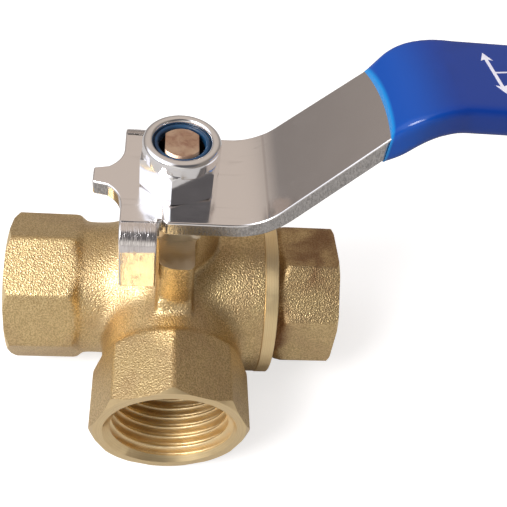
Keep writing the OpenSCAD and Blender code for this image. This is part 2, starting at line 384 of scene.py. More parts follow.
def combine(obj: bpy.types.Object, tool: bpy.types.Object, how: Join) -> bpy.types.Object:
    """Combines obj with a tool, whose finish stays on the faces that it makes.

    Args:
        obj: The solid that is kept.
        tool: The other solid, which is used up.
        how: Whether the tool is added, cut away or kept within.

    Returns:
        obj.
    """
    modified(obj, "BOOLEAN", object=tool, operation=how.value, solver="MANIFOLD", material_mode="TRANSFER")
    bpy.data.objects.remove(tool)
    return obj


def arc(centre: Point, radius: float, start: float, end: float, steps: int = 16) -> list[Point]:
    """Points of an arc from one angle to another, in degrees."""
    angles = [math.radians(start + (end - start) * i / steps) for i in range(steps + 1)]
    return [(centre[0] + radius * math.cos(a), centre[1] + radius * math.sin(a)) for a in angles]


def rod(radius: float, low: float, high: float) -> list[Point]:
    """Profile of a plain round bar, to be turned."""
    return [(radius, low), (radius, high)]


def rectangle(half_across: float, half_up: float) -> list[Point]:
    """Outline of a rectangle about the middle."""
    across, up = half_across, half_up
    return [(-across, -up), (across, -up), (across, up), (-across, up)]


def mirrored(points: Sequence[Point]) -> list[Point]:
    """The points in the opposite order, on the other side of the first direction."""
    return [(a, -b) for a, b in reversed(points)]


def corners(node: str) -> tuple[Vector, Vector]:
    """Lowest and highest corner of a frame's node, in millimetres."""
    low, high = map(Vector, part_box(node))
    return low / MM, high / MM


def heights(node: str) -> list[float]:
    """Foot and top of a frame's node, in millimetres."""
    return [corner[2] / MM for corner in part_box(node)]


def hand_over(
    obj: bpy.types.Object, body: Body, slot: str, *nodes: str, smooth: float = 32.0, weighted: bool = False
) -> None:
    """Finishes a piece: shades it smooth, attaches it to its body and hides the nodes it stands for.

    Args:
        obj: The finished piece.
        body: The body it moves with.
        slot: Name of the record's material slot for its finish; not used.
        *nodes: The frame's nodes that it stands for.
        smooth: Largest angle that still looks rounded, in degrees.
        weighted: Whether large faces keep their own normals, so that only the bevels beside them
            shade round.
    """
    only(obj)
    bpy.ops.object.shade_smooth_by_angle(angle=math.radians(smooth))
    if weighted:
        modified(obj, "WEIGHTED_NORMAL", keep_sharp=True, weight=80)
    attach(obj, body.value)
    if nodes:
        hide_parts(*nodes)
    log.info("%s: %d faces", obj.name, len(obj.data.polygons))


# Laying out shader nodes.


def shader(
    tree: bpy.types.NodeTree, kind: str, inputs: dict | None = None, **settings: object
) -> bpy.types.Node:
    """Adds a node, sets it and links it.

    Args:
        tree: The node tree.
        kind: The node's type.
        inputs: Values of its inputs by name or number, or the output that feeds one.
        **settings: The node's own settings.

    Returns:
        The node.
    """
    made = tree.nodes.new(kind)
    for key, value in settings.items():
        setattr(made, key, value)
    for key, value in (inputs or {}).items():
        if isinstance(value, bpy.types.NodeSocket):
            tree.links.new(value, made.inputs[key])
        else:
            made.inputs[key].default_value = value
    return made


def maths(
    tree: bpy.types.NodeTree, operation: str, *values: object, clamp: bool = False
) -> bpy.types.NodeSocket:
    """The result of a maths node on numbers or outputs."""
    inputs = dict(enumerate(values))
    return shader(tree, "ShaderNodeMath", inputs, operation=operation, use_clamp=clamp).outputs[0]


def ramped(tree: bpy.types.NodeTree, value: object, low: float, high: float) -> bpy.types.NodeSocket:
    """A value eased from 0 at low to 1 at high."""
    inputs = {"Value": value, "From Min": low, "From Max": high}
    return shader(tree, "ShaderNodeMapRange", inputs, interpolation_type="SMOOTHSTEP").outputs[0]


def blend(tree: bpy.types.NodeTree, factor: object, first: object, second: object) -> bpy.types.NodeSocket:
    """Mixes two colours.

    Args:
        tree: The node tree.
        factor: Share of the second colour, as a number or an output.
        first: A colour or the output that gives it.
        second: Another one.

    Returns:
        The mixed colour.
    """
    first, second = ((*side, 1.0) if isinstance(side, tuple) else side for side in (first, second))
    colour_sockets = {0: factor, 6: first, 7: second}
    return shader(tree, "ShaderNodeMix", colour_sockets, data_type="RGBA").outputs[2]


class Effects:
    """Node groups that several finishes share. Each puts out masks or heights only."""

    def __init__(self) -> None:
        """Builds the groups."""
        self.grain = self._grain()
        self.lathe = self._lathe()
        self.blotches = self._blotches()
        self.handling = self._handling()

    def _new(self, name: str, inputs: dict[str, float], outputs: Sequence[str]) -> tuple:
        """Starts a group.

        Args:
            name: The group's name.
            inputs: Names and values of its numbers, besides the place on the surface.
            outputs: Names of its results.

        Returns:
            The group's tree, its input node and its output node.
        """
        tree = bpy.data.node_groups.new(name, "ShaderNodeTree")
        tree.interface.new_socket("Place", in_out="INPUT", socket_type="NodeSocketVector")
        for key, value in inputs.items():
            socket = tree.interface.new_socket(key, in_out="INPUT", socket_type="NodeSocketFloat")
            socket.default_value = value
        for key in outputs:
            tree.interface.new_socket(key, in_out="OUTPUT", socket_type="NodeSocketFloat")
        return tree, tree.nodes.new("NodeGroupInput"), tree.nodes.new("NodeGroupOutput")

    def _grain(self) -> bpy.types.NodeTree:
        """Pits and peaks left by shot blasting, of a given size in metres.

        Returns:
            The group's tree.
        """
        tree, given, result = self._new("Blast grain", {"Size": 0.0003}, ("Height", "Tone"))
        scale = maths(tree, "DIVIDE", 1.0, given.outputs["Size"])
        fine = shader(
            tree, "ShaderNodeTexNoise", {"Vector": given.outputs["Place"], "Scale": scale, "Detail": 2.0}
        )
        cells = shader(
            tree,
            "ShaderNodeTexVoronoi",
            {"Vector": given.outputs["Place"], "Scale": scale, "Smoothness": 0.6},
            feature="SMOOTH_F1",
        )
        height = maths(tree, "ADD", fine.outputs[0], maths(tree, "MULTIPLY", cells.outputs["Distance"], 0.5))
        tree.links.new(height, result.inputs["Height"])
        tree.links.new(ramped(tree, fine.outputs[0], 0.36, 0.64), result.inputs["Tone"])
        return tree

    def _lathe(self) -> bpy.types.NodeTree:
        """Fine rings left by turning about Z, of a given spacing in metres.

        Returns:
            The group's tree.
        """
        tree, given, result = self._new("Lathe marks", {"Spacing": 0.0002}, ("Height", "Tone"))
        parts = shader(tree, "ShaderNodeSeparateXYZ", {"Vector": given.outputs["Place"]})
        flat = shader(tree, "ShaderNodeCombineXYZ", {"X": parts.outputs["X"], "Y": parts.outputs["Y"]})
        radius = shader(tree, "ShaderNodeVectorMath", {0: flat.outputs[0]}, operation="LENGTH")
        along = maths(tree, "ADD", radius.outputs["Value"], parts.outputs["Z"])
        phase = maths(tree, "DIVIDE", along, given.outputs["Spacing"])
        rings = shader(
            tree, "ShaderNodeTexNoise", {"W": phase, "Scale": 1.0, "Detail": 3.0}, noise_dimensions="1D"
        )
        tree.links.new(rings.outputs[0], result.inputs["Height"])
        tree.links.new(ramped(tree, rings.outputs[0], 0.3, 0.7), result.inputs["Tone"])
        return tree

    def _blotches(self) -> bpy.types.NodeTree:
        """Soft patches, as of tarnish, of a given size in metres.

        Returns:
            The group's tree.
        """
        tree, given, result = self._new("Blotches", {"Size": 0.006}, ("Mask",))
        scale = maths(tree, "DIVIDE", 1.0, given.outputs["Size"])
        cloud = shader(
            tree,
            "ShaderNodeTexNoise",
            {"Vector": given.outputs["Place"], "Scale": scale, "Detail": 4.0, "Distortion": 0.6},
        )
        tree.links.new(ramped(tree, cloud.outputs[0], 0.38, 0.66), result.inputs["Mask"])
        return tree

    def _handling(self) -> bpy.types.NodeTree:
        """Hairline scratches and faint smears of polished and coated surfaces.

        Returns:
            The group's tree.
        """
        tree, given, result = self._new("Handling", {"Size": 0.004}, ("Scratches", "Smears"))
        scale = maths(tree, "DIVIDE", 1.0, given.outputs["Size"])
        turned_place = shader(
            tree,
            "ShaderNodeMapping",
            {"Vector": given.outputs["Place"], "Rotation": (0.2, 0.1, 0.5), "Scale": (0.16, 4.0, 4.0)},
        )
        lines = shader(
            tree, "ShaderNodeTexNoise", {"Vector": turned_place.outputs[0], "Scale": scale, "Detail": 5.0}
        )
        smears = shader(
            tree, "ShaderNodeTexNoise", {"Vector": given.outputs["Place"], "Scale": scale, "Detail": 3.0}
        )
        tree.links.new(ramped(tree, lines.outputs[0], 0.56, 0.7), result.inputs["Scratches"])
        tree.links.new(ramped(tree, smears.outputs[0], 0.4, 0.7), result.inputs["Smears"])
        return tree


class Sheet:
    """A material being laid out on its Principled shader."""

    def __init__(self, name: str, **constants: object) -> None:
        """Starts the material.

        Args:
            name: The material's name.
            **constants: Values set on the shader's own sockets, with _ for a space.
        """
        self.material = bpy.data.materials.new(name)
        self.material.use_nodes = True
        self.tree = self.material.node_tree
        self.principled = self.tree.nodes["Principled BSDF"]
        for key, value in constants.items():
            socket = self.principled.inputs[key.replace("_", " ")]
            socket.default_value = (*value, 1.0) if isinstance(value, tuple) else value
        self.place = self.tree.nodes.new("ShaderNodeTexCoord").outputs["Object"]

    def seen_along(self, axis: Axis) -> bpy.types.NodeSocket:
        """The place on the surface with the axis laid along Z."""
        inputs = {"Vector": self.place, "Rotation": tuple(-angle for angle in axis.value)}
        return shader(self.tree, "ShaderNodeMapping", inputs).outputs[0]

    def effect(
        self, group: bpy.types.NodeTree, place: bpy.types.NodeSocket | None = None, **values: float
    ) -> dict:
        """Places a shared effect.

        Args:
            group: The effect's node group.
            place: The place on the surface that it reads, or None for the object's own.
            **values: Values of its inputs.

        Returns:
            Its outputs by name.
        """
        made = shader(self.tree, "ShaderNodeGroup", None, node_tree=group)
        self.tree.links.new(place or self.place, made.inputs["Place"])
        for key, value in values.items():
            made.inputs[key].default_value = value
        return {socket.name: socket for socket in made.outputs}

    def feed(self, key: str, value: bpy.types.NodeSocket) -> None:
        """Feeds one of the shader's sockets."""
        self.tree.links.new(value, self.principled.inputs[key])

    def emboss(self, height: bpy.types.NodeSocket, depth: float, strength: float = 1.0) -> None:
        """Raises the surface by a height map of a given depth in millimetres."""
        inputs = {"Height": height, "Distance": depth * MM, "Strength": strength}
        self.feed("Normal", shader(self.tree, "ShaderNodeBump", inputs).outputs[0])


@dataclass(frozen=True)
class ForgedBrass:
    """Hot-forged brass, shot-blasted to a fine sparkling grain."""

    name: str
    bright: Colour = (0.79, 0.60, 0.31)
    dull: Colour = (0.54, 0.39, 0.19)
    tarnish: Colour = (0.46, 0.29, 0.17)
    roughness: float = 0.40
    grain_mm: float = 0.26
    depth_mm: float = 0.10
    # Darkening colour: partly heat-stained brass, partly painted shade.
    stain_and_shade: Colour = (0.20, 0.09, 0.045)
    stain_and_shade_span: Point | None = None
    shaded_top_height: float = 8.0

    def material(self, effects: Effects) -> bpy.types.Material:
        """Lays out the finish. A span darkens it towards low X, partly heat-stained and partly painted
        shade, and darkens the top with painted shade.

        Args:
            effects: The effects that finishes share.

        Returns:
            The material.
        """
        sheet = Sheet(self.name, Metallic=1.0, Roughness=self.roughness)
        tree = sheet.tree
        grain = sheet.effect(effects.grain, Size=self.grain_mm * MM)
        patches = sheet.effect(effects.blotches, Size=0.007)
        colour = blend(tree, grain["Tone"], self.dull, self.bright)
        colour = blend(tree, maths(tree, "MULTIPLY", patches["Mask"], 0.3), colour, self.tarnish)
        rough = maths(tree, "MULTIPLY_ADD", grain["Tone"], -0.12, self.roughness + 0.06)
        # Towards low X the brass is heat-stained, with painted shade in the recess by the flange; the top
        # gets painted shade.
        if self.stain_and_shade_span is not None:
            parts = shader(tree, "ShaderNodeSeparateXYZ", {"Vector": sheet.place})
            fade = ramped(tree, parts.outputs["X"], self.stain_and_shade_span[1] * MM, self.stain_and_shade_span[0] * MM)
            # Painted shade: the facets above this height are darkened and roughened.
            above = ramped(tree, parts.outputs["Z"], self.shaded_top_height * MM, (self.shaded_top_height + 2.5) * MM)
            both = maths(tree, "MAXIMUM", fade, maths(tree, "MULTIPLY", above, 0.55))
            broken = maths(tree, "MULTIPLY", both, maths(tree, "ADD", patches["Mask"], 0.55), clamp=True)
            colour = blend(tree, maths(tree, "MULTIPLY", broken, 0.85), colour, self.stain_and_shade)
            rough = maths(tree, "MULTIPLY_ADD", broken, 0.16, rough)
        sheet.feed("Base Color", colour)
        sheet.feed("Roughness", rough)
        sheet.emboss(grain["Height"], self.depth_mm)
        return sheet.material


@dataclass(frozen=True)
class TurnedMetal:
    """Metal with the rings of the lathe about one axis."""

    name: str
    axis: Axis
    bright: Colour = (0.88, 0.70, 0.40)
    dull: Colour = (0.74, 0.56, 0.31)
    roughness: float = 0.30
    spacing_mm: float = 0.11
    depth_mm: float = 0.006

    def material(self, effects: Effects) -> bpy.types.Material:
        """Lays out the finish.

        Args:
            effects: The effects that finishes share.

        Returns:
            The material.
        """
        sheet = Sheet(self.name, Metallic=1.0, Roughness=self.roughness)
        tree = sheet.tree
        rings = sheet.effect(effects.lathe, sheet.seen_along(self.axis), Spacing=self.spacing_mm * MM)
        patches = sheet.effect(effects.blotches, Size=0.004)
        marks = sheet.effect(effects.handling, Size=0.003)
        colour = blend(tree, rings["Tone"], self.dull, self.bright)
        colour = blend(tree, maths(tree, "MULTIPLY", patches["Mask"], 0.25), colour, self.dull)
        sheet.feed("Base Color", colour)
        rough = maths(tree, "MULTIPLY_ADD", marks["Smears"], 0.12, self.roughness)
        sheet.feed("Roughness", rough)
        sheet.emboss(rings["Height"], self.depth_mm)
        return sheet.material


@dataclass(frozen=True)
class BrightPlate:
    """Mirror plating over steel, with faint smears and hairline scratches."""

    name: str
    colour: Colour = (0.86, 0.83, 0.82)
    # Scratch colour, also used as painted shade past the crease.
    wear_and_shade: Colour = (0.60, 0.56, 0.54)
    roughness: float = 0.06
    # Where the forming line and the painted shade beyond it start.
    crease_and_shade_x: float | None = None

    def material(self, effects: Effects) -> bpy.types.Material:
        """Lays out the finish.

        Args:
            effects: The effects that finishes share.

        Returns:
            The material.
        """
        sheet = Sheet(self.name, Metallic=1.0, Roughness=self.roughness)
        tree = sheet.tree
        marks = sheet.effect(effects.handling, Size=0.004)
        patches = sheet.effect(effects.blotches, Size=0.005)
        both = maths(tree, "MULTIPLY", marks["Scratches"], patches["Mask"])
        colour = blend(tree, maths(tree, "MULTIPLY", both, 0.22), self.colour, self.wear_and_shade)
        smeared = maths(tree, "MULTIPLY_ADD", marks["Smears"], 0.05, self.roughness)
        height = maths(tree, "SUBTRACT", marks["Smears"], both)
        # Past the crease: a dark forming line, partly painted shade at the bend's start, then the slope
        # painted darker as shade.
        if self.crease_and_shade_x is not None:
            parts = shader(tree, "ShaderNodeSeparateXYZ", {"Vector": sheet.place})
            start = self.crease_and_shade_x * MM
            rise = ramped(tree, parts.outputs["X"], start - 0.35 * MM, start)
            line = maths(tree, "MULTIPLY", rise, ramped(tree, parts.outputs["X"], start + 0.35 * MM, start))
            colour = blend(tree, maths(tree, "MULTIPLY", line, 0.45), colour, self.wear_and_shade)
            # Painted shade: darker from the crease onwards, over the slope.
            slope_shade = ramped(tree, parts.outputs["X"], start, start + 3 * MM)
            colour = blend(tree, maths(tree, "MULTIPLY", slope_shade, 0.35), colour, self.wear_and_shade)
            height = maths(tree, "MULTIPLY_ADD", line, -4.0, height)
        sheet.feed("Base Color", colour)
        sheet.feed("Roughness", maths(tree, "MULTIPLY_ADD", both, 0.10, smeared))
        sheet.emboss(height, 0.002)
        return sheet.material


@dataclass(frozen=True)
class ShearedPlate:
    """Plated edge of the strip, rough from the press, with lines through its thickness."""

    name: str
    colour: Colour = (0.56, 0.54, 0.52)
    shade: Colour = (0.30, 0.29, 0.28)
    roughness: float = 0.22

    def material(self, effects: Effects) -> bpy.types.Material:
        """Lays out the finish.

        Args:
            effects: The effects that finishes share.

        Returns:
            The material.
        """
        sheet = Sheet(self.name, Metallic=1.0, Roughness=self.roughness)
        tree = sheet.tree
        inputs = {"Vector": sheet.place, "Scale": (1.0, 1.0, 0.3)}
        lines_place = shader(tree, "ShaderNodeMapping", inputs).outputs[0]
        lines = sheet.effect(effects.grain, lines_place, Size=0.00022)
        grain = sheet.effect(effects.grain, Size=0.00018)
        tone = maths(tree, "MULTIPLY", maths(tree, "ADD", lines["Tone"], grain["Tone"]), 0.5)
        sheet.feed("Base Color", blend(tree, tone, self.shade, self.colour))
        sheet.feed("Roughness", maths(tree, "MULTIPLY_ADD", tone, -0.12, self.roughness + 0.08))
        sheet.emboss(maths(tree, "ADD", lines["Height"], grain["Height"]), 0.008)
        return sheet.material


@dataclass(frozen=True)
class StretchedPlate:
    """Plating over a tight bend, drawn into fine streaks down the tab."""

    name: str
    colour: Colour = (0.84, 0.80, 0.78)
    streak: Colour = (0.52, 0.47, 0.45)
    roughness: float = 0.12

    def material(self, effects: Effects) -> bpy.types.Material:
        """Lays out the finish.

        Args:
            effects: The effects that finishes share.

        Returns:
            The material.
        """
        sheet = Sheet(self.name, Metallic=1.0, Roughness=self.roughness)
        tree = sheet.tree
        inputs = {"Vector": sheet.place, "Scale": (1.0, 0.08, 0.08)}
        drawn_out = shader(tree, "ShaderNodeMapping", inputs).outputs[0]
        streaks = sheet.effect(effects.grain, drawn_out, Size=0.00014)
        patches = sheet.effect(effects.blotches, Size=0.002)
        tone = maths(tree, "MULTIPLY", streaks["Tone"], maths(tree, "ADD", patches["Mask"], 0.3), clamp=True)
        sheet.feed("Base Color", blend(tree, maths(tree, "MULTIPLY", tone, 0.6), self.colour, self.streak))
        sheet.feed("Roughness", maths(tree, "MULTIPLY_ADD", tone, 0.16, self.roughness))
        sheet.emboss(maths(tree, "MULTIPLY", streaks["Height"], tone), 0.010)
        return sheet.material


@dataclass(frozen=True)
class DippedVinyl:
    """Glossy dipped coat, thin and paler at the dip's end line, with a painted highlight on the bend."""

    name: str
    mouth_x: float
    low_y: float
    curve: float
    # Painted highlight colour over the slope and bend near the mouth.
    bend: Colour = (0.002, 0.060, 0.33)
    colour: Colour = (0.003, 0.034, 0.24)
    shade: Colour = (0.003, 0.030, 0.20)
    thin: Colour = (0.006, 0.24, 0.60)
    roughness: float = 0.17

    def material(self, effects: Effects) -> bpy.types.Material:
        """Lays out the finish.

        Args:
            effects: The effects that finishes share.

        Returns:
            The material.
        """
        sheet = Sheet(self.name, Roughness=self.roughness, IOR=1.42)
        tree = sheet.tree
        parts = shader(tree, "ShaderNodeSeparateXYZ", {"Vector": sheet.place})
        offset = maths(tree, "ADD", parts.outputs["Y"], self.low_y * MM)
        sag = maths(tree, "DIVIDE", maths(tree, "POWER", offset, 2.0), 2 * self.curve * MM)
        past = maths(tree, "ADD", maths(tree, "SUBTRACT", parts.outputs["X"], self.mouth_x * MM), sag)
        marks = sheet.effect(effects.handling, Size=0.005)
        patches = sheet.effect(effects.blotches, Size=0.012)
        colour = blend(tree, patches["Mask"], self.colour, self.shade)
        # Painted highlight: lighter blue over the slope and bend, fading out from 2 to 9 mm past the mouth.
        colour = blend(tree, ramped(tree, past, 9 * MM, 2 * MM), colour, self.bend)
        edge = ramped(tree, past, 0.45 * MM, 0.05 * MM)
        colour = blend(tree, maths(tree, "MULTIPLY", edge, 0.85), colour, self.thin)
        sheet.feed("Base Color", colour)
        sheet.feed("Roughness", maths(tree, "MULTIPLY_ADD", marks["Smears"], 0.10, self.roughness))
        waves = maths(tree, "MULTIPLY_ADD", marks["Scratches"], -0.08, patches["Mask"])
        sheet.emboss(waves, 0.03)
        return sheet.material


@dataclass(frozen=True)
class WornBronze:
    """Sawn and handled bronze, mottled by heat and fingers."""

    name: str
    colour: Colour = (0.56, 0.37, 0.26)
    pale: Colour = (0.70, 0.52, 0.38)
    spot: Colour = (0.34, 0.16, 0.12)
    roughness: float = 0.38

    def material(self, effects: Effects) -> bpy.types.Material:
        """Lays out the finish.

        Args:
            effects: The effects that finishes share.

        Returns:
            The material.
        """
        sheet = Sheet(self.name, Metallic=1.0, Roughness=self.roughness)
        tree = sheet.tree
        patches = sheet.effect(effects.blotches, Size=0.0022)
        spots = sheet.effect(effects.blotches, Size=0.0009)
        grain = sheet.effect(effects.grain, Size=0.00016)
        colour = blend(tree, patches["Mask"], self.colour, self.pale)
        dark = maths(tree, "MULTIPLY", spots["Mask"], maths(tree, "SUBTRACT", 1.0, patches["Mask"]))
        colour = blend(tree, maths(tree, "MULTIPLY", dark, 0.5), colour, self.spot)
        sheet.feed("Base Color", colour)
        sheet.feed("Roughness", maths(tree, "MULTIPLY_ADD", spots["Mask"], 0.14, self.roughness))
        sheet.emboss(maths(tree, "ADD", grain["Height"], spots["Mask"]), 0.012)
        return sheet.material


@dataclass(frozen=True)
class Moulded:
    """Plain plastic, rubber or ink with a faint grain."""

    name: str
    colour: Colour
    shade: Colour
    roughness: float = 0.5
    grain_mm: float = 0.3
    depth_mm: float = 0.01

    def material(self, effects: Effects) -> bpy.types.Material:
        """Lays out the finish.

        Args:
            effects: The effects that finishes share.

        Returns:
            The material.
        """
        sheet = Sheet(self.name, Roughness=self.roughness)
        tree = sheet.tree
        grain = sheet.effect(effects.grain, Size=self.grain_mm * MM)
        patches = sheet.effect(effects.blotches, Size=0.003)
        sheet.feed("Base Color", blend(tree, patches["Mask"], self.colour, self.shade))
        sheet.feed("Roughness", maths(tree, "MULTIPLY_ADD", grain["Tone"], 0.12, self.roughness - 0.06))
        sheet.emboss(grain["Height"], self.depth_mm)
        return sheet.material


# The valve's pieces.


@dataclass(frozen=True)
class PipeThread:
    """Internal half inch parallel pipe thread with rounded crests and roots."""

    minor_radius: float = 9.32
    major_radius: float = 10.48
    pitch: float = 1.814
    length: float = 11.3
    run_out: float = 0.5
    flank_gain: float = 1.1
    points: int = 40
    steps: int = 48

    def cutter(self, face: float, axis: Axis, finish: bpy.types.Material) -> bpy.types.Object:
        """The helical tool that cuts the thread, from its floor out past the port's face.

        Args:
            face: Distance of the port's face from the ball's centre.
            axis: Where the port points.
            finish: What the cut surface looks like.

        Returns:
            The tool.
        """
        bpy.ops.object.select_all(action="DESELECT")
        bpy.ops.mesh.primitive_circle_add(vertices=self.points, radius=MM)
        made = new_primitive("thread_tool")
        middle = (self.minor_radius + self.major_radius) / 2
        depth = (self.major_radius - self.minor_radius) / 2
        for index, vertex in enumerate(made.data.vertices):
            swing = 4 * abs(index / self.points - 0.5) - 1
            flank = max(-1.0, min(1.0, self.flank_gain * swing))
            radius = middle + depth * math.sin(flank * math.pi / 2)
            vertex.co = vertex.co.normalized() * radius * MM
        modified(
            made,
            "SCREW",
            axis="Z",
            screw_offset=self.pitch * MM,
            iterations=math.ceil((self.length + self.run_out) / self.pitch),
            steps=self.steps,
            render_steps=self.steps,
        )
        with editing(made):
            bpy.ops.mesh.select_all(action="SELECT")
            bpy.ops.mesh.fill_holes(sides=0)
            face_outwards()
        made.location = (0, 0, (face - self.length) * MM)
        settle(made)
        made.rotation_euler = axis.value
        settle(made)
        return wear(made, finish)


@dataclass(frozen=True)
class Port:
    """A pipe port: forged octagon outside, turned face, mouth, thread and waterway."""

    axis: Axis
    face: float
    octagon_length: float = 12.2
    flats: float = 24.0
    face_radius: float = 12.15
    neck_radius: float = 11.7
    shoulder: float = 1.2
    chamfer: float = 0.8
    mouth: float = 1.4
    drill: float = 1.5
    waterway_radius: float = 5.5
    seat_radius: float = 7.35
    seat_start: float = 5.0
    seat_back: float = 11.69
    turn: float = 0.0
    allowance: float = 2.0
    root_gap: float = 0.15
    thread: PipeThread = PipeThread()

    @property
    def corner_radius(self) -> float:
        """Distance from the axis to the octagon's corners."""
        return self.flats / 2 / math.cos(math.pi / 8)

    @property
    def inner_end(self) -> float:
        """Where the octagon's shoulder meets the neck."""
        return self.face - self.octagon_length

    def octagon(self, finish: bpy.types.Material) -> bpy.types.Object:
        """Forges the octagon, longer than the finished port by a machining allowance.

        Args:
            finish: The forging's finish.

        Returns:
            The octagon.
        """
        outer = self.corner_radius + 0.1
        end = self.face + self.allowance
        start = self.inner_end - OVERCUT
        span = (start, end + OVERCUT)
        blank = prism("octagon", 8, self.corner_radius, span, self.axis, self.turn, finish)
        envelope = [
            (self.neck_radius, start),
            (self.neck_radius, self.inner_end),
            (outer, self.inner_end + self.shoulder),
            (outer, end),
        ]
        return combine(blank, turned("envelope", envelope, self.axis), Join.KEEP)

    def machine(
        self, body: bpy.types.Object, finish: bpy.types.Material, threaded: bpy.types.Material
    ) -> None:
        """Faces, chamfers, bores and threads the port.

        Args:
            body: The forging.
            finish: The turned finish left by the tools.
            threaded: The finish of the thread.
        """
        rim = self.face_radius
        outer = self.corner_radius + 2 * OVERCUT
        back = self.face - self.chamfer * (outer - rim) / (self.corner_radius - rim)
        facing = [(rim, self.face), (outer, back), (outer, self.face + 2 * self.allowance)]
        combine(body, turned("facing_tool", facing, self.axis, finish), Join.CUT)
        floor = self.face - self.thread.length
        clear = self.thread.minor_radius - self.root_gap
        mouth_radius = self.thread.minor_radius + self.mouth
        boring = [
            (self.waterway_radius, 2.0),
            (self.waterway_radius, floor - self.drill),
            (clear, floor),
            (clear, self.face - self.mouth - self.root_gap),
            (mouth_radius, self.face),
            (mouth_radius + OVERCUT, self.face + OVERCUT),
        ]
        combine(body, turned("boring_tool", boring, self.axis, finish), Join.CUT)
        combine(body, self.thread.cutter(self.face, self.axis, threaded), Join.CUT)
        self.pocket(body, self.axis, finish)

    def pocket(self, body: bpy.types.Object, axis: Axis, finish: bpy.types.Material) -> None:
        """Cuts the pocket of a seat, from near the ball's centre outwards."""
        profile = rod(self.seat_radius, self.seat_start, self.seat_back)
        combine(body, turned("pocket_tool", profile, axis, finish), Join.CUT)


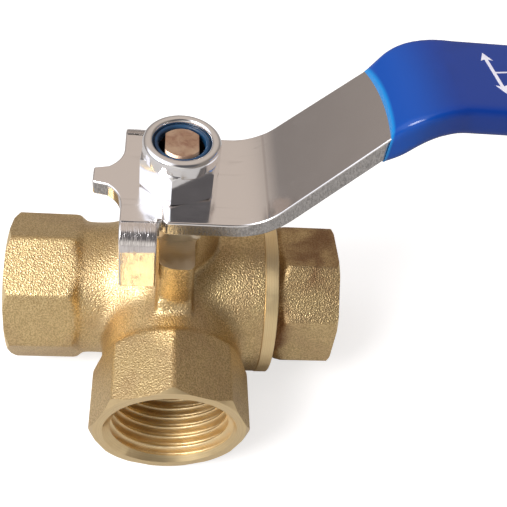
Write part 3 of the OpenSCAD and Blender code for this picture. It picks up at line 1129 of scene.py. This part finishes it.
@dataclass
class Housing:
    """The forged body and the screwed end cap."""

    forged: bpy.types.Material
    forged_cap: bpy.types.Material
    turned_x: bpy.types.Material
    turned_y: bpy.types.Material
    turned_z: bpy.types.Material
    threaded: bpy.types.Material
    milled: bpy.types.Material
    neck_radius: float = 11.7
    barrel_radius: float = 14.2
    swell_start: float = -11.8
    swell_end: float = -4.6
    joint_radius: float = 14.55
    chamber_radius: float = 11.2
    chamber_end: float = 8.41
    spigot_radius: float = 12.4
    gasket: float = 0.6
    flange: float = 2.3
    recess: float = 0.8
    cap_turn: float = 28.0
    stem_radius: float = 4.05
    shoulder_radius: float = 5.15
    shoulder_top: float = 13.25
    gland_radius: float = 5.3
    gland_floor: float = 18.45
    boss_radius: float = 7.0
    post_width: float = 5.4
    post_reach: float = 12.6
    post_top: float = 21.3
    post_foot: float = 1.4
    post_corner: float = 1.2
    post_bulge: float = 6.0
    root_depth: float = 5.0
    flange_edge: float = 0.15
    voxel: float = 0.4
    voxel_quick: float = 0.8

    def __post_init__(self) -> None:
        """Reads the outer sizes from the frame."""
        low, high = corners("valve_body")
        self.joint = high.x
        self.boss_top = high.z
        self.left = Port(Axis.LEFT, -low.x)
        self.front = Port(Axis.FRONT, -low.y)
        cap_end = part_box("end_cap")[1][0] / MM
        recess_end = self.joint + self.flange + self.recess
        octagon = cap_end - recess_end
        self.cap = Port(Axis.CAP, cap_end, octagon, face_radius=12.5, chamfer=0.5, turn=-self.cap_turn)

    def _barrel(self) -> bpy.types.Object:
        """Forges the barrel about X, with its swell over the ball, and the front port's round neck.

        Returns:
            The barrel.
        """
        rise = self.barrel_radius - self.neck_radius
        span = self.swell_end - self.swell_start
        steps = 8
        swell = [
            (
                self.neck_radius + rise * (1 - math.cos(math.pi * i / steps)) / 2,
                self.swell_start + span * i / steps,
            )
            for i in range(steps + 1)
        ]
        profile = [
            (self.neck_radius, -(self.left.inner_end + OVERCUT)),
            *swell,
            *rod(self.joint_radius, self.joint, self.joint + self.front.allowance),
        ]
        barrel = turned("forged_body", profile, Axis.CAP, self.forged)
        neck = rod(self.neck_radius, 0.0, self.front.inner_end + OVERCUT)
        combine(barrel, turned("neck", neck, Axis.FRONT), Join.ADD)
        dome = arc((0.0, 0.0), self.barrel_radius, -85, 85, 34)
        combine(barrel, turned("dome", dome, Axis.UP), Join.ADD)
        return softened(barrel, 2 * self.voxel, 12)

    def _post(self) -> bpy.types.Object:
        """Forges the stop post, with its milling allowance.

        Returns:
            The post.
        """
        foot = self.post_reach + self.post_foot
        foot_top = self.neck_radius + self.post_foot
        side = [
            (0.0, self.root_depth),
            (-foot, self.root_depth),
            (-foot, self.neck_radius - 0.5),
            (-self.post_reach, foot_top),
            (-self.post_reach, self.post_top + OVERCUT),
            (0.0, self.post_top + OVERCUT),
        ]
        half = self.post_width / 2 + 0.1
        made = plate("post", side, Drawn.END, (-half, half))
        corner = self.post_corner
        near = -self.post_reach - 0.1
        plan = [
            (-half, 1.0),
            *arc((0.7, near + self.post_bulge), self.post_bulge, 234, 278, 10),
            *arc((half - corner, near + corner), corner, 282, 360, 8),
            (half, 1.0),
        ]
        upper = plate("post_plan", plan, Drawn.PLAN, (foot_top, self.post_top + 2 * OVERCUT))
        wide, deep = half + OVERCUT, foot + 2 * OVERCUT
        around = [(-wide, 2.0), (-wide, -deep), (wide, -deep), (wide, 2.0)]
        lower = plate("foot_plan", around, Drawn.PLAN, (0.0, foot_top + 0.05))
        return combine(made, combine(upper, lower, Join.ADD), Join.KEEP)

    def _forging(self) -> bpy.types.Object:
        """Joins the forging's parts, as it leaves the blast cabinet with its machining allowance.

        Returns:
            The forging.
        """
        body = self._barrel()
        combine(body, self.left.octagon(self.forged), Join.ADD)
        combine(body, self.front.octagon(self.forged), Join.ADD)
        combine(body, self._post(), Join.ADD)
        boss = rod(self.boss_radius, self.root_depth, self.boss_top + OVERCUT)
        combine(body, turned("boss", boss, Axis.UP), Join.ADD)
        return softened(body, self.voxel, 8)

    def build_body(self) -> None:
        """Forges and machines the body."""
        body = self._forging()
        above = self.boss_top + 3 * OVERCUT
        milled = [
            (self.boss_radius, self.post_top),
            *rod(TOOL_RADIUS, self.post_top, above),
            (self.boss_radius, above),
        ]
        combine(body, turned("mill", milled, Axis.UP, self.milled, hollow=True), Join.CUT)
        top = rod(TOOL_RADIUS, self.boss_top, self.boss_top + 5 * OVERCUT)
        combine(body, turned("top_tool", top, Axis.UP, self.turned_z), Join.CUT)
        joint = rod(TOOL_RADIUS, self.joint, self.joint + 5 * OVERCUT)
        combine(body, turned("joint_tool", joint, Axis.CAP, self.turned_x), Join.CUT)
        self.left.machine(body, self.turned_x, self.threaded)
        self.front.machine(body, self.turned_y, self.threaded)
        self.front.pocket(body, Axis.REAR, self.turned_y)
        step = self.chamber_end - self.gasket
        chamber = [
            *rod(self.chamber_radius, -self.chamber_end, step),
            *rod(self.spigot_radius, step, self.joint + OVERCUT),
        ]
        combine(body, turned("chamber_tool", chamber, Axis.CAP, self.turned_x), Join.CUT)
        stem_room = [
            *rod(self.shoulder_radius, 1.0, self.shoulder_top),
            *rod(self.stem_radius, self.shoulder_top, self.gland_floor),
            *rod(self.gland_radius, self.gland_floor, self.boss_top + OVERCUT),
        ]
        combine(body, turned("stem_tool", stem_room, Axis.UP, self.turned_z), Join.CUT)
        hand_over(body, Body.HOUSING, "cast_brass", "valve_body")

    def build_cap(self) -> None:
        """Forges and machines the screwed end cap."""
        cap = self.cap.octagon(self.forged_cap)
        cap.name = "screwed_cap"
        softened(cap, self.voxel, 4)
        edge = self.flange_edge
        flange_end = self.joint + self.flange
        ring = self.joint_radius + 0.05
        neck = self.cap.neck_radius - 0.4
        turned_part = [
            *rod(self.spigot_radius - 0.1, self.chamber_end, self.joint + 0.02),
            (ring - edge, self.joint + 0.02),
            (ring, self.joint + edge),
            (ring, flange_end - edge),
            (ring - edge, flange_end),
            (neck + 0.5, flange_end),
            (neck, flange_end + 0.5),
            (neck, self.cap.inner_end + OVERCUT),
        ]
        combine(cap, turned("turned_part", turned_part, Axis.CAP, self.turned_x), Join.ADD)
        self.cap.machine(cap, self.turned_x, self.threaded)
        hand_over(cap, Body.HOUSING, "cast_brass", "end_cap")


@dataclass
class Lever:
    """The cranked steel lever, its dipped grip and the flow mark on it."""

    plating: bpy.types.Material
    sheared: bpy.types.Material
    stretched: bpy.types.Material
    thickness: float = 2.7
    width: float = 19.2
    neck_width: float = 16.6
    tongue_width: float = 14.0
    low_bend_x: float = 12.7
    high_bend_x: float = 32.9
    low_bend_radius: float = 11.0
    high_bend_radius: float = 11.0
    tongue_x: float = 37.9
    end_round: float = 5.0
    tip_half: float = 1.6
    side_x: float = -8.8
    tab_x: float = -3.2
    notch: float = 0.7
    notch_depth: float = 0.6
    scallop_radius: float = 5.0
    scallop_y: float = 6.25
    scallop_end_y: float = 2.05
    tab_inner_radius: float = 0.6
    hole_radius: float = 3.5
    hole_flats: float = 5.1
    shoulder_round: float = 1.0
    tab_overlap: float = 0.2
    hole_span: Point = (20.0, 35.0)
    hole_reach: float = 9.0
    edge: float = 0.32
    whole: Point = (0.0, 80.0)
    grip_edge: float = 1.15
    grip_thickness: float = 4.7
    grip_width: float = 16.4
    grip_drop: float = 7.2
    grip_wall: float = 0.8
    grip_cap: float = 2.2
    coat_gap: float = 0.05
    lip: float = 0.30
    lip_length: float = 0.2
    thickening: tuple[Point, ...] = ((1.2, 0.28), (2.4, 0.13), (3.8, 0.12))
    thinning: float = 5.0
    coat_lead: float = 3.0
    socket_lead: float = 5.0
    dip_reach: float = 20.0
    coat_voxel: float = 0.36
    coat_voxel_quick: float = 0.7
    dip_low_y: float = 4.0
    dip_curve: float = 61.0
    ink_thickness: float = 0.04
    ink_root: float = 0.05
    mark_x: float = 42.75
    mark_y: float = 0.3
    mark_lean: float = 7.7
    mark_arm: float = 3.7
    mark_stem: float = 8.2
    mark_stroke: float = 0.5
    mark_head: float = 1.8

    def __post_init__(self) -> None:
        """Reads the strip's extremes from the frame and works out the crank."""
        low, high = corners("lever")
        self.tip_x = low.x
        self.length = high.x
        self.tab_y = high.y
        self.tab_z = low.z
        self.top = heights("lock_nut")[0]
        self.mid_z = self.top - self.thickness / 2
        self.grip_z = high.z - self.thickness / 2
        run = self.high_bend_x - self.low_bend_x
        rise = self.grip_z - self.mid_z
        self.slope = math.atan2(rise, run)
        self.slope_length = math.hypot(run, rise)
        self.mouth_s = self.slope_length - self.grip_drop
        self.mouth_x = self.low_bend_x + self.mouth_s * math.cos(self.slope)
        self.grip_end = self.length + self.grip_cap

    def _low_bend(self, rise: float) -> list[Point]:
        """Rounds the lower bend.

        Args:
            rise: Distance above the strip's middle.

        Returns:
            The bend's points.
        """
        start = self.low_bend_x - self.low_bend_radius * math.tan(self.slope / 2)
        centre = (start, self.mid_z + self.low_bend_radius)
        return arc(centre, self.low_bend_radius - rise, -90, math.degrees(self.slope) - 90, 20)

    def _high_bend(self, rise: float) -> list[Point]:
        """Rounds the upper bend.

        Args:
            rise: Distance above the strip's middle.

        Returns:
            The bend's points.
        """
        end = self.high_bend_x + self.high_bend_radius * math.tan(self.slope / 2)
        centre = (end, self.grip_z - self.high_bend_radius)
        return arc(centre, self.high_bend_radius + rise, 90 + math.degrees(self.slope), 90, 24)

    def _slope_point(self, along: float, rise: float) -> Point:
        """A point on the slope, by its distance from the lower bend and above the middle."""
        a, b = math.cos(self.slope), math.sin(self.slope)
        return (self.low_bend_x + along * a - rise * b, self.mid_z + along * b + rise * a)

    def _strip_side(self, rise: float) -> list[Point]:
        """Draws one side of the strip seen from the front.

        Args:
            rise: Distance above the strip's middle.

        Returns:
            The points from the pointer to the far end.
        """
        start = (self.tip_x - OVERCUT, self.mid_z + rise)
        end = (self.length + OVERCUT, self.grip_z + rise)
        return [start, *self._low_bend(rise), *self._high_bend(rise), end]

    def _half_plan(self) -> list[Point]:
        """Lays out half of the lever's plan.

        Returns:
            The points from the pointer round to the far end.
        """
        root = self.tab_y - self.tab_inner_radius - self.thickness
        sweep = math.degrees(math.asin((self.scallop_y - self.scallop_end_y) / self.scallop_radius))
        corner = (self.length - self.end_round, self.tongue_width / 2 - self.end_round)
        shoulder = (self.tab_x + self.notch + self.shoulder_round, self.width / 2 - self.shoulder_round)
        return [
            (self.tip_x, self.tip_half),
            *arc((self.side_x - self.scallop_radius, self.scallop_y), self.scallop_radius, -sweep, 0),
            (self.side_x, root),
            (self.tab_x, root),
            (self.tab_x, root - self.notch_depth),
            (self.tab_x + self.notch, root - self.notch_depth),
            *arc(shoulder, self.shoulder_round, 180, 90, 6),
            (self.low_bend_x, self.width / 2),
            (self.mouth_x, self.neck_width / 2),
            (self.tongue_x, self.tongue_width / 2),
            *arc(corner, self.end_round, 90, 0),
        ]

    def _tab(self, side: float) -> bpy.types.Object:
        """One stop tab, bent down from the strip's edge.

        Args:
            side: -1 for the front tab and 1 for the rear one.

        Returns:
            The tab.
        """
        outer = self.tab_inner_radius + self.thickness
        centre = (-self.tab_y + outer, self.top - outer)
        root = centre[0] + self.tab_overlap
        outline = [
            (root, self.top),
            *arc(centre, outer, 90, 180, 14),
            (-self.tab_y, self.tab_z),
            (-self.tab_y + self.thickness, self.tab_z),
            *arc(centre, self.tab_inner_radius, 180, 90, 8),
            (root, self.top - self.thickness),
        ]
        if side > 0:
            outline = [(-a, b) for a, b in reversed(outline)]
        return plate("tab", outline, Drawn.END, (self.side_x, self.tab_x), self.stretched)

    def _sheared(self, centre: Vector, normal: Vector) -> bool:
        """Whether a face is a side of the strip that the press sheared."""
        edge_on = abs(normal.z) < 0.25 and abs(normal.y) > 0.8
        return edge_on and abs(centre.y) < self.width / 2 + 0.1

    def build_strip(self) -> None:
        """Cuts out, cranks and plates the strip."""
        half = self.thickness / 2
        side = [*self._strip_side(half), *reversed(self._strip_side(-half))]
        strip = plate("plated_lever", side, Drawn.SIDE, (-self.width, self.width), self.plating)
        plan = [*self._half_plan(), *mirrored(self._half_plan())]
        combine(strip, plate("plan", plan, Drawn.PLAN, self.whole, self.plating), Join.KEEP)
        for front in (-1.0, 1.0):
            combine(strip, self._tab(front), Join.ADD)
        low, high = self.hole_span
        hole = turned("hole", rod(self.hole_radius, low, high), finish=self.plating, steps=64)
        outline = rectangle(self.hole_flats / 2, self.hole_reach)
        slot = plate("flats", outline, Drawn.PLAN, (low - OVERCUT, high + OVERCUT))
        combine(strip, combine(hole, slot, Join.KEEP), Join.CUT)
        bevelled(strip, self.edge, 3, 40, clamp=False)
        strip.data.materials.append(self.sheared)
        slot_number = len(strip.data.materials) - 1
        pick_faces(strip, self._sheared)
        for face in strip.data.polygons:
            if face.select:
                face.material_index = slot_number
        hand_over(strip, Body.LEVER, "lever_plating", "lever", smooth=50.0, weighted=True)

    def _beside(self, along: float, rise: float) -> Point:
        """Finds a point beside the strip's middle.

        Args:
            along: Distance along the slope and the upper bend.
            rise: Distance above the middle.

        Returns:
            The point, seen from the front.
        """
        start = self.slope_length - self.high_bend_radius * math.tan(self.slope / 2)
        if along <= start:
            return self._slope_point(along, rise)
        turn = min((along - start) / self.high_bend_radius, self.slope)
        angle = math.pi / 2 + self.slope - turn
        rest = along - start - self.high_bend_radius * turn
        radius = self.high_bend_radius + rise
        centre_x = self.high_bend_x + self.high_bend_radius * math.tan(self.slope / 2)
        centre_z = self.grip_z - self.high_bend_radius
        return (centre_x + radius * math.cos(angle) + rest, centre_z + radius * math.sin(angle))

    def _coat_side(self, side: float, full: float, end: float, thin: float, mouth: float) -> list[Point]:
        """One side of the coat or its socket.

        Args:
            side: 1 for the top and -1 for the underside.
            full: Distance from the strip's middle where the coat is full.
            end: X of its far end.
            thin: Distance from the strip's middle at the mouth.
            mouth: How far along the slope this side's mouth lies.

        Returns:
            The side's points.
        """
        start = self.slope_length - self.high_bend_radius * math.tan(self.slope / 2)
        last = start + self.high_bend_radius * self.slope
        steps = 28
        points = []
        stops = [mouth + (last - mouth) * i / steps for i in range(steps + 1)]
        for along in [mouth - self.coat_lead, *stops]:
            share = max(0.0, min(1.0, (along - mouth) / self.thinning))
            points.append(self._beside(along, side * (thin + (full - thin) * math.sin(share * math.pi / 2))))
        return [*points, (end, self.grip_z + side * full)]

    def _mouth_line(self) -> list[Point]:
        """Draws the dip's slightly slanted waterline in plan.

        Returns:
            Its points, from the rear edge to the front one.
        """
        half, steps = self.width / 2, 16
        rows = [half - 2 * half * i / steps for i in range(steps + 1)]
        return [(self.mouth_x - (y + self.dip_low_y) ** 2 / (2 * self.dip_curve), y) for y in rows]

    def _coat_plan(self) -> list[Point]:
        """Lays out the plan of the coat's outside.

        Returns:
            The outline.
        """
        mouth = self.neck_width / 2 + self.grip_wall
        tongue = self.grip_width / 2
        corner = self.end_round
        lip = mouth - self.grip_wall + self.lip
        half = [
            (self.mouth_x - self.coat_lead, lip + self.coat_lead * self._narrowing()),
            (self.mouth_x + self.lip_length, lip),
            *((self.mouth_x + past, mouth - missing) for past, missing in self.thickening),
            (self.tongue_x, tongue),
            *arc((self.grip_end - corner, tongue - corner), corner, 90, 0),
        ]
        return [*half, *mirrored(half)]

    def _socket_plan(self) -> list[Point]:
        """Lays out the plan of the coat's inside, a little clear of the strip.

        Returns:
            The outline.
        """
        gap = 2 * self.coat_gap
        lead = self.socket_lead
        tongue = self.tongue_width / 2 + gap
        corner = self.end_round
        end = self.length + self.coat_gap
        half = [
            (self.mouth_x - lead, self.neck_width / 2 + gap + lead * self._narrowing()),
            (self.mouth_x, self.neck_width / 2 + gap),
            (self.tongue_x, tongue),
            *arc((end - corner, tongue - corner), corner, 90, 0),
        ]
        return [*half, *mirrored(half)]

    def _narrowing(self) -> float:
        """How fast the strip narrows between the lower bend and the mouth."""
        return (self.width - self.neck_width) / 2 / (self.mouth_x - self.low_bend_x)

    def build_grip(self, vinyl: bpy.types.Material) -> None:
        """Dips the grip.

        Args:
            vinyl: The coat's finish.
        """
        half = self.grip_thickness / 2
        tip = self.grip_end - half
        thin = self.thickness / 2 + self.lip
        under = self.mouth_s - self.thickness * math.tan(self.slope)
        side = [
            *self._coat_side(1, half, tip, thin, self.mouth_s),
            *arc((tip, self.grip_z), half, 90, -90),
            *reversed(self._coat_side(-1, half, tip, thin, under)),
        ]
        grip = plate("dipped_grip", side, Drawn.SIDE, (-self.width, self.width), vinyl)
        combine(grip, plate("plan", self._coat_plan(), Drawn.PLAN, self.whole, vinyl), Join.KEEP)
        bevelled(grip, self.grip_edge, 6, 40, clamp=False)
        softened(grip, self.coat_voxel, 6)
        behind = self.mouth_x - self.dip_reach
        above = [*self._mouth_line(), (behind, -self.width / 2), (behind, self.width / 2)]
        combine(grip, plate("waterline", above, Drawn.PLAN, self.whole, vinyl), Join.CUT)
        fit = self.thickness / 2 + self.coat_gap
        end = self.length + self.coat_gap
        socket_side = [
            *self._coat_side(1, fit, end, fit, self.mouth_s - self.socket_lead),
            *reversed(self._coat_side(-1, fit, end, fit, under - self.socket_lead)),
        ]
        socket = plate("socket", socket_side, Drawn.SIDE, (-self.width, self.width), vinyl)
        combine(socket, plate("plan", self._socket_plan(), Drawn.PLAN, self.whole, vinyl), Join.KEEP)
        combine(grip, socket, Join.CUT)
        hand_over(grip, Body.LEVER, "grip_coat", "grip", smooth=38.0)

    def print_mark(self, ink: bpy.types.Material) -> None:
        """Prints the flow mark, a T with an arrow at each end, on top of the grip.

        Args:
            ink: The ink's finish.
        """
        top = self.grip_z + self.grip_thickness / 2
        span = (top - self.ink_root, top + self.ink_thickness)
        lean = math.radians(self.mark_lean)
        along = Vector((math.cos(lean), math.sin(lean)))
        across = Vector((-along.y, along.x))
        strokes = (
            (-self.mark_arm, 0.0, self.mark_arm, 0.0, self.mark_stroke),
            (0.0, 0.0, 0.0, -self.mark_stem, self.mark_stroke * 0.6),
        )
        mark = None
        for a0, b0, a1, b1, wide in strokes:
            start = across * a0 - along * b0
            end = across * a1 - along * b1
            side = (end - start).normalized().orthogonal() * wide / 2
            outlines = [[start + side, end + side, end - side, start - side]]
            tips = (start, end) if a0 else (end,)
            for tip in tips:
                run = (tip - (start + end) / 2).normalized() * self.mark_head
                wing = run.orthogonal() * 0.5
                foot = tip - run * 0.5
                outlines.append([tip + run * 0.5, foot + wing, tip - run * 0.3, foot - wing])
            for outline in outlines:
                places = [(self.mark_x + point.x, self.mark_y + point.y) for point in outline]
                piece = plate("flow_mark", places, Drawn.PLAN, span, ink)
                mark = piece if mark is None else combine(mark, piece, Join.ADD)
        mark.name = "flow_mark"
        hand_over(mark, Body.LEVER, "grip_coat")


@dataclass
class StemEnd:
    """The stem with its turned and flatted end, the lock nut and its nylon insert."""

    nut_turn: float = 18.0
    nut_flats: float = 11.2
    collar_height: float = 1.85
    collar_radius: float = 5.9
    collar_round: float = 0.85
    bore_radius: float = 3.5
    insert_radius: float = 4.85
    lip_radius: float = 4.33
    lip_height: float = 1.0
    stem_radius: float = 4.0
    end_radius: float = 3.45
    end_flats: float = 5.0
    shoulder_radius: float = 5.0
    tang_width: float = 9.0
    tang_thickness: float = 2.8
    groove_depth: float = 1.3
    groove_gap: float = 0.1
    washer_shoulder: float = 1.1
    plate_thickness: float = 2.7
    end_edge: float = 0.45
    nut_edge: float = 0.14

    def __post_init__(self) -> None:
        """Reads the heights from the frame."""
        self.nut_foot, self.nut_top = heights("lock_nut")
        self.hex_top = self.nut_top - self.collar_height
        self.stem_foot, self.stem_top = heights("stem")
        self.shoulder_top = heights("thrust_washer")[0]
        self.shoulder_foot = self.shoulder_top - self.washer_shoulder
        self.plate_foot = self.nut_foot - self.plate_thickness

    def build_nut(self, plating: bpy.types.Material) -> None:
        """Turns and mills the nut and rolls its collar over the insert.

        Args:
            plating: The nut's finish.
        """
        corner = self.nut_flats / 2 / math.cos(math.pi / 6)
        flat = self.nut_flats / 2
        span = (self.nut_foot, self.hex_top)
        nut = prism("crimped_nut", 6, corner, span, Axis.UP, self.nut_turn, plating)
        envelope = [
            (flat, self.nut_foot),
            (corner + 0.05, self.nut_foot + 0.45),
            (corner + 0.05, self.hex_top - 1.0),
            (flat + 0.45, self.hex_top - 0.35),
            (flat - 0.1, self.hex_top),
        ]
        combine(nut, turned("envelope", envelope, Axis.UP, plating), Join.KEEP)
        outer = self.collar_radius
        lip = self.lip_radius
        top = self.nut_top
        rim = self.collar_round
        inner = rim * 0.65
        collar = [
            (outer - 0.35, self.hex_top - 1.2),
            (outer, self.hex_top - 0.7),
            *arc((outer - rim, top - rim), rim, 0, 90, 10),
            *arc((lip + inner, top - inner), inner, 90, 180, 8),
        ]
        combine(nut, turned("collar", collar, Axis.UP, plating), Join.ADD)
        bevelled(nut, self.nut_edge, 2, 28)
        cuts = {
            "bore": rod(self.bore_radius, self.nut_foot - OVERCUT, top + OVERCUT),
            "mouth": rod(lip, self.hex_top + 0.4, top + OVERCUT),
            "pocket": rod(self.insert_radius, self.hex_top, top - self.lip_height),
        }
        for name, profile in cuts.items():
            combine(nut, turned(name, profile, Axis.UP, plating), Join.CUT)
        hand_over(nut, Body.LEVER, "nut_plating", "lock_nut", smooth=35.0, weighted=True)

    def build_insert(self, nylon: bpy.types.Material) -> None:
        """Makes the nylon ring, crowned where the nut's lip holds it.

        Args:
            nylon: The ring's finish.
        """
        floor = self.hex_top
        outer = self.insert_radius
        crown = self.nut_top - self.lip_height
        ring = [
            (self.bore_radius, floor),
            (outer, floor),
            (outer, crown),
            (self.lip_radius - 0.1, crown),
            *arc((self.bore_radius + 0.35, crown + 0.05), 0.35, 50, 180, 6),
        ]
        made = turned("nylon_ring", ring, Axis.UP, nylon, hollow=True)
        hand_over(made, Body.LEVER, "insert_nylon", "nylon_insert")

    def build_stem(self, bronze: bpy.types.Material) -> None:
        """Turns the stem and mills its end and its tang.

        Args:
            bronze: The stem's finish.
        """
        edge = self.end_edge
        rows = rod(self.shoulder_radius, self.shoulder_foot, self.shoulder_top)
        start = self.shoulder_top
        for ring in ("stem_oring_lower", "stem_oring_upper"):
            low, high = heights(ring)
            low, high = low - self.groove_gap, high + self.groove_gap
            rows += rod(self.stem_radius, start, low)
            rows += rod(self.stem_radius - self.groove_depth, low, high)
            start = high
        rows += rod(self.stem_radius, start, self.plate_foot)
        stem = turned("spindle", rows, Axis.UP, bronze, steps=64)
        end = [
            (self.end_radius, self.plate_foot - 0.5),
            (self.end_radius, self.stem_top - edge),
            (self.end_radius - edge, self.stem_top),
        ]
        screw = turned("screw_end", end, Axis.UP, bronze, steps=64)
        span = (self.plate_foot - OVERCUT, self.stem_top + OVERCUT)
        outline = rectangle(self.end_flats / 2, 5.0)
        combine(screw, plate("flats", outline, Drawn.PLAN, span, bronze), Join.KEEP)
        bevelled(screw, 0.15, 2, 35)
        combine(stem, screw, Join.ADD)
        tang = rectangle(self.tang_width / 2, self.tang_thickness / 2)
        span = (self.stem_foot, self.shoulder_foot + 0.3)
        combine(stem, plate("tang", tang, Drawn.PLAN, span, bronze), Join.ADD)
        hand_over(stem, Body.LEVER, "stem_brass", "stem", smooth=35.0, weighted=True)


@dataclass(frozen=True)
class Patch:
    """A lighter or darker part of the room.

    It is set by its direction, the cosines at which it starts and is full, and its colour.
    """

    direction: Vector
    spread: Point
    colour: Colour


@dataclass
class Studio:
    """Pale floor, soft light and the camera."""

    place: Vector = Vector((-3.39, -87.43, 113.96))
    turn: tuple[float, float, float] = (40.36, -6.859, -3.026)
    lens: float = 55.4
    sensor: float = 36.0
    floor_size: float = 6.0
    floor_glow: float = 0.68
    key_place: Vector = Vector((-0.42, -0.30, 0.52))
    key_size: float = 0.28
    key_power: float = 4.0
    floor_colour: Colour = (0.58, 0.57, 0.56)
    room_low: Colour = (0.24, 0.22, 0.21)
    room_high: Colour = (0.62, 0.54, 0.48)
    patches: tuple[Patch, ...] = (
        Patch(Vector((-0.1, -0.98, -0.05)), (0.58, 0.95), (0.84, 0.82, 0.79)),
        Patch(Vector((-0.72, -0.15, 0.68)), (0.74, 0.93), (1.42, 1.48, 1.62)),
        Patch(Vector((0.95, -0.25, 0.1)), (0.25, 0.8), (0.25, 0.22, 0.195)),
        Patch(Vector((0.2, -0.62, 0.76)), (0.82, 0.95), (0.12, 0.115, 0.12)),
    )

    def set_camera(self) -> None:
        """Places the camera."""
        data = bpy.data.cameras.new("camera")
        data.lens = self.lens
        data.sensor_width = self.sensor
        data.clip_start = 0.005
        camera = bpy.data.objects.new("camera", data)
        bpy.context.collection.objects.link(camera)
        camera.rotation_euler = [math.radians(angle) for angle in self.turn]
        camera.location = self.place * MM
        bpy.context.scene.camera = camera

    def lay_floor(self) -> None:
        """Lays the pale floor, which lights itself a little where it is looked at."""
        bpy.ops.object.select_all(action="DESELECT")
        height = CAD_BOUNDS[0][2]
        bpy.ops.mesh.primitive_plane_add(size=self.floor_size, location=(0, 0, height))
        sheet = Sheet(
            "pale_floor",
            Base_Color=self.floor_colour,
            Roughness=0.9,
            Specular_IOR_Level=0.0,
            Emission_Color=(1.0, 1.0, 1.0),
        )
        seen = sheet.tree.nodes.new("ShaderNodeLightPath").outputs["Is Camera Ray"]
        sheet.feed("Emission Strength", maths(sheet.tree, "MULTIPLY", seen, self.floor_glow))
        wear(new_primitive("floor"), sheet.material)

    def light(self) -> None:
        """Sets the soft box and the room around it."""
        data = bpy.data.lights.new("key", "AREA")
        data.size = self.key_size
        data.energy = self.key_power
        lamp = bpy.data.objects.new("key", data)
        bpy.context.collection.objects.link(lamp)
        lamp.location = self.key_place
        lamp.rotation_mode = "QUATERNION"
        lamp.rotation_quaternion = (-self.key_place).to_track_quat("-Z", "Y")
        world = bpy.data.worlds.new("room")
        bpy.context.scene.world = world
        world.use_nodes = True
        tree = world.node_tree
        direction = tree.nodes.new("ShaderNodeTexCoord").outputs["Generated"]
        parts = shader(tree, "ShaderNodeSeparateXYZ", {"Vector": direction})
        room = blend(tree, ramped(tree, parts.outputs["Z"], -0.1, 0.75), self.room_low, self.room_high)
        for patch in self.patches:
            inputs = {0: direction, 1: tuple(patch.direction.normalized())}
            facing = shader(tree, "ShaderNodeVectorMath", inputs, operation="DOT_PRODUCT").outputs["Value"]
            room = blend(tree, ramped(tree, facing, *patch.spread), room, patch.colour)
        background = tree.nodes["Background"]
        tree.links.new(room, background.inputs["Color"])
        bpy.context.scene.view_settings.view_transform = "Standard"


def dress(node: str, finish: bpy.types.Material) -> None:
    """Gives a node of the frame its finish, in all its slots.

    Args:
        node: The node's name.
        finish: The finish.
    """
    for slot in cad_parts[node].material_slots:
        slot.material = finish
    log.info("%s: dressed in %s", node, finish.name)


def main() -> None:
    """Builds the studio, the finishes and the pieces."""
    logging.basicConfig(level=logging.INFO, format="%(message)s")
    studio = Studio()
    studio.set_camera()
    studio.light()
    effects = Effects()
    studio.lay_floor()

    cap_start = corners("end_cap")[0].x
    # The cap's brass is heat-stained towards the flange, with painted shade there and on its top.
    dark_brass = ForgedBrass("forged_cap_brass", stain_and_shade_span=(cap_start + 9.0, cap_start + 12.6))
    side_brass = TurnedMetal("turned_brass_x", Axis.CAP, (0.95, 0.77, 0.45), (0.84, 0.64, 0.35), 0.40)
    thread_brass = TurnedMetal("threaded_brass", Axis.UP, (0.96, 0.79, 0.48), (0.86, 0.66, 0.37), 0.42)
    milled_brass = TurnedMetal("milled_brass", Axis.UP, (0.86, 0.76, 0.60), (0.80, 0.69, 0.52), 0.30)
    housing = Housing(
        forged=ForgedBrass("forged_brass").material(effects),
        forged_cap=dark_brass.material(effects),
        turned_x=side_brass.material(effects),
        turned_y=TurnedMetal("turned_brass_y", Axis.FRONT).material(effects),
        turned_z=TurnedMetal("turned_brass_z", Axis.UP).material(effects),
        threaded=thread_brass.material(effects),
        milled=milled_brass.material(effects),
    )
    housing.build_body()
    housing.build_cap()

    lever = Lever(
        # The lever's plating is painted darker past the crease, as shade on the slope.
        plating=BrightPlate("bright_plate", roughness=0.11, crease_and_shade_x=13.2).material(effects),
        sheared=ShearedPlate("sheared_plate").material(effects),
        stretched=StretchedPlate("stretched_plate").material(effects),
    )
    lever.build_strip()
    vinyl = DippedVinyl("dipped_vinyl", lever.mouth_x, lever.dip_low_y, lever.dip_curve)
    lever.build_grip(vinyl.material(effects))
    lever.print_mark(Moulded("white_ink", (0.80, 0.79, 0.86), (0.66, 0.65, 0.78), 0.5).material(effects))

    stem_end = StemEnd()
    stem_end.build_nut(BrightPlate("nut_plate", (0.84, 0.83, 0.83), roughness=0.09).material(effects))
    nylon = Moulded("blue_nylon", (0.008, 0.055, 0.13), (0.006, 0.030, 0.075), 0.4)
    stem_end.build_insert(nylon.material(effects))
    stem_end.build_stem(WornBronze("stem_bronze").material(effects))

    seal = Moulded("white_seal", (0.86, 0.85, 0.82), (0.78, 0.77, 0.73), 0.45).material(effects)
    seats = ("seat_left", "seat_right", "seat_front", "seat_rear")
    for node in (*seats, "cap_gasket", "thrust_washer", "packing_lower", "packing_upper"):
        dress(node, seal)
    rubber = Moulded("black_rubber", (0.02, 0.02, 0.02), (0.035, 0.035, 0.035), 0.6).material(effects)
    for node in ("stem_oring_lower", "stem_oring_upper"):
        dress(node, rubber)
    dress("ball", BrightPlate("ball_plate", (0.85, 0.85, 0.86), roughness=0.07).material(effects))
    steel = TurnedMetal("washer_steel", Axis.UP, (0.62, 0.62, 0.62), (0.45, 0.45, 0.45), 0.3)
    dress("gland_follower", steel.material(effects))
    dress("gland_nut", housing.turned_z)


if __name__ == "__main__":
    main()
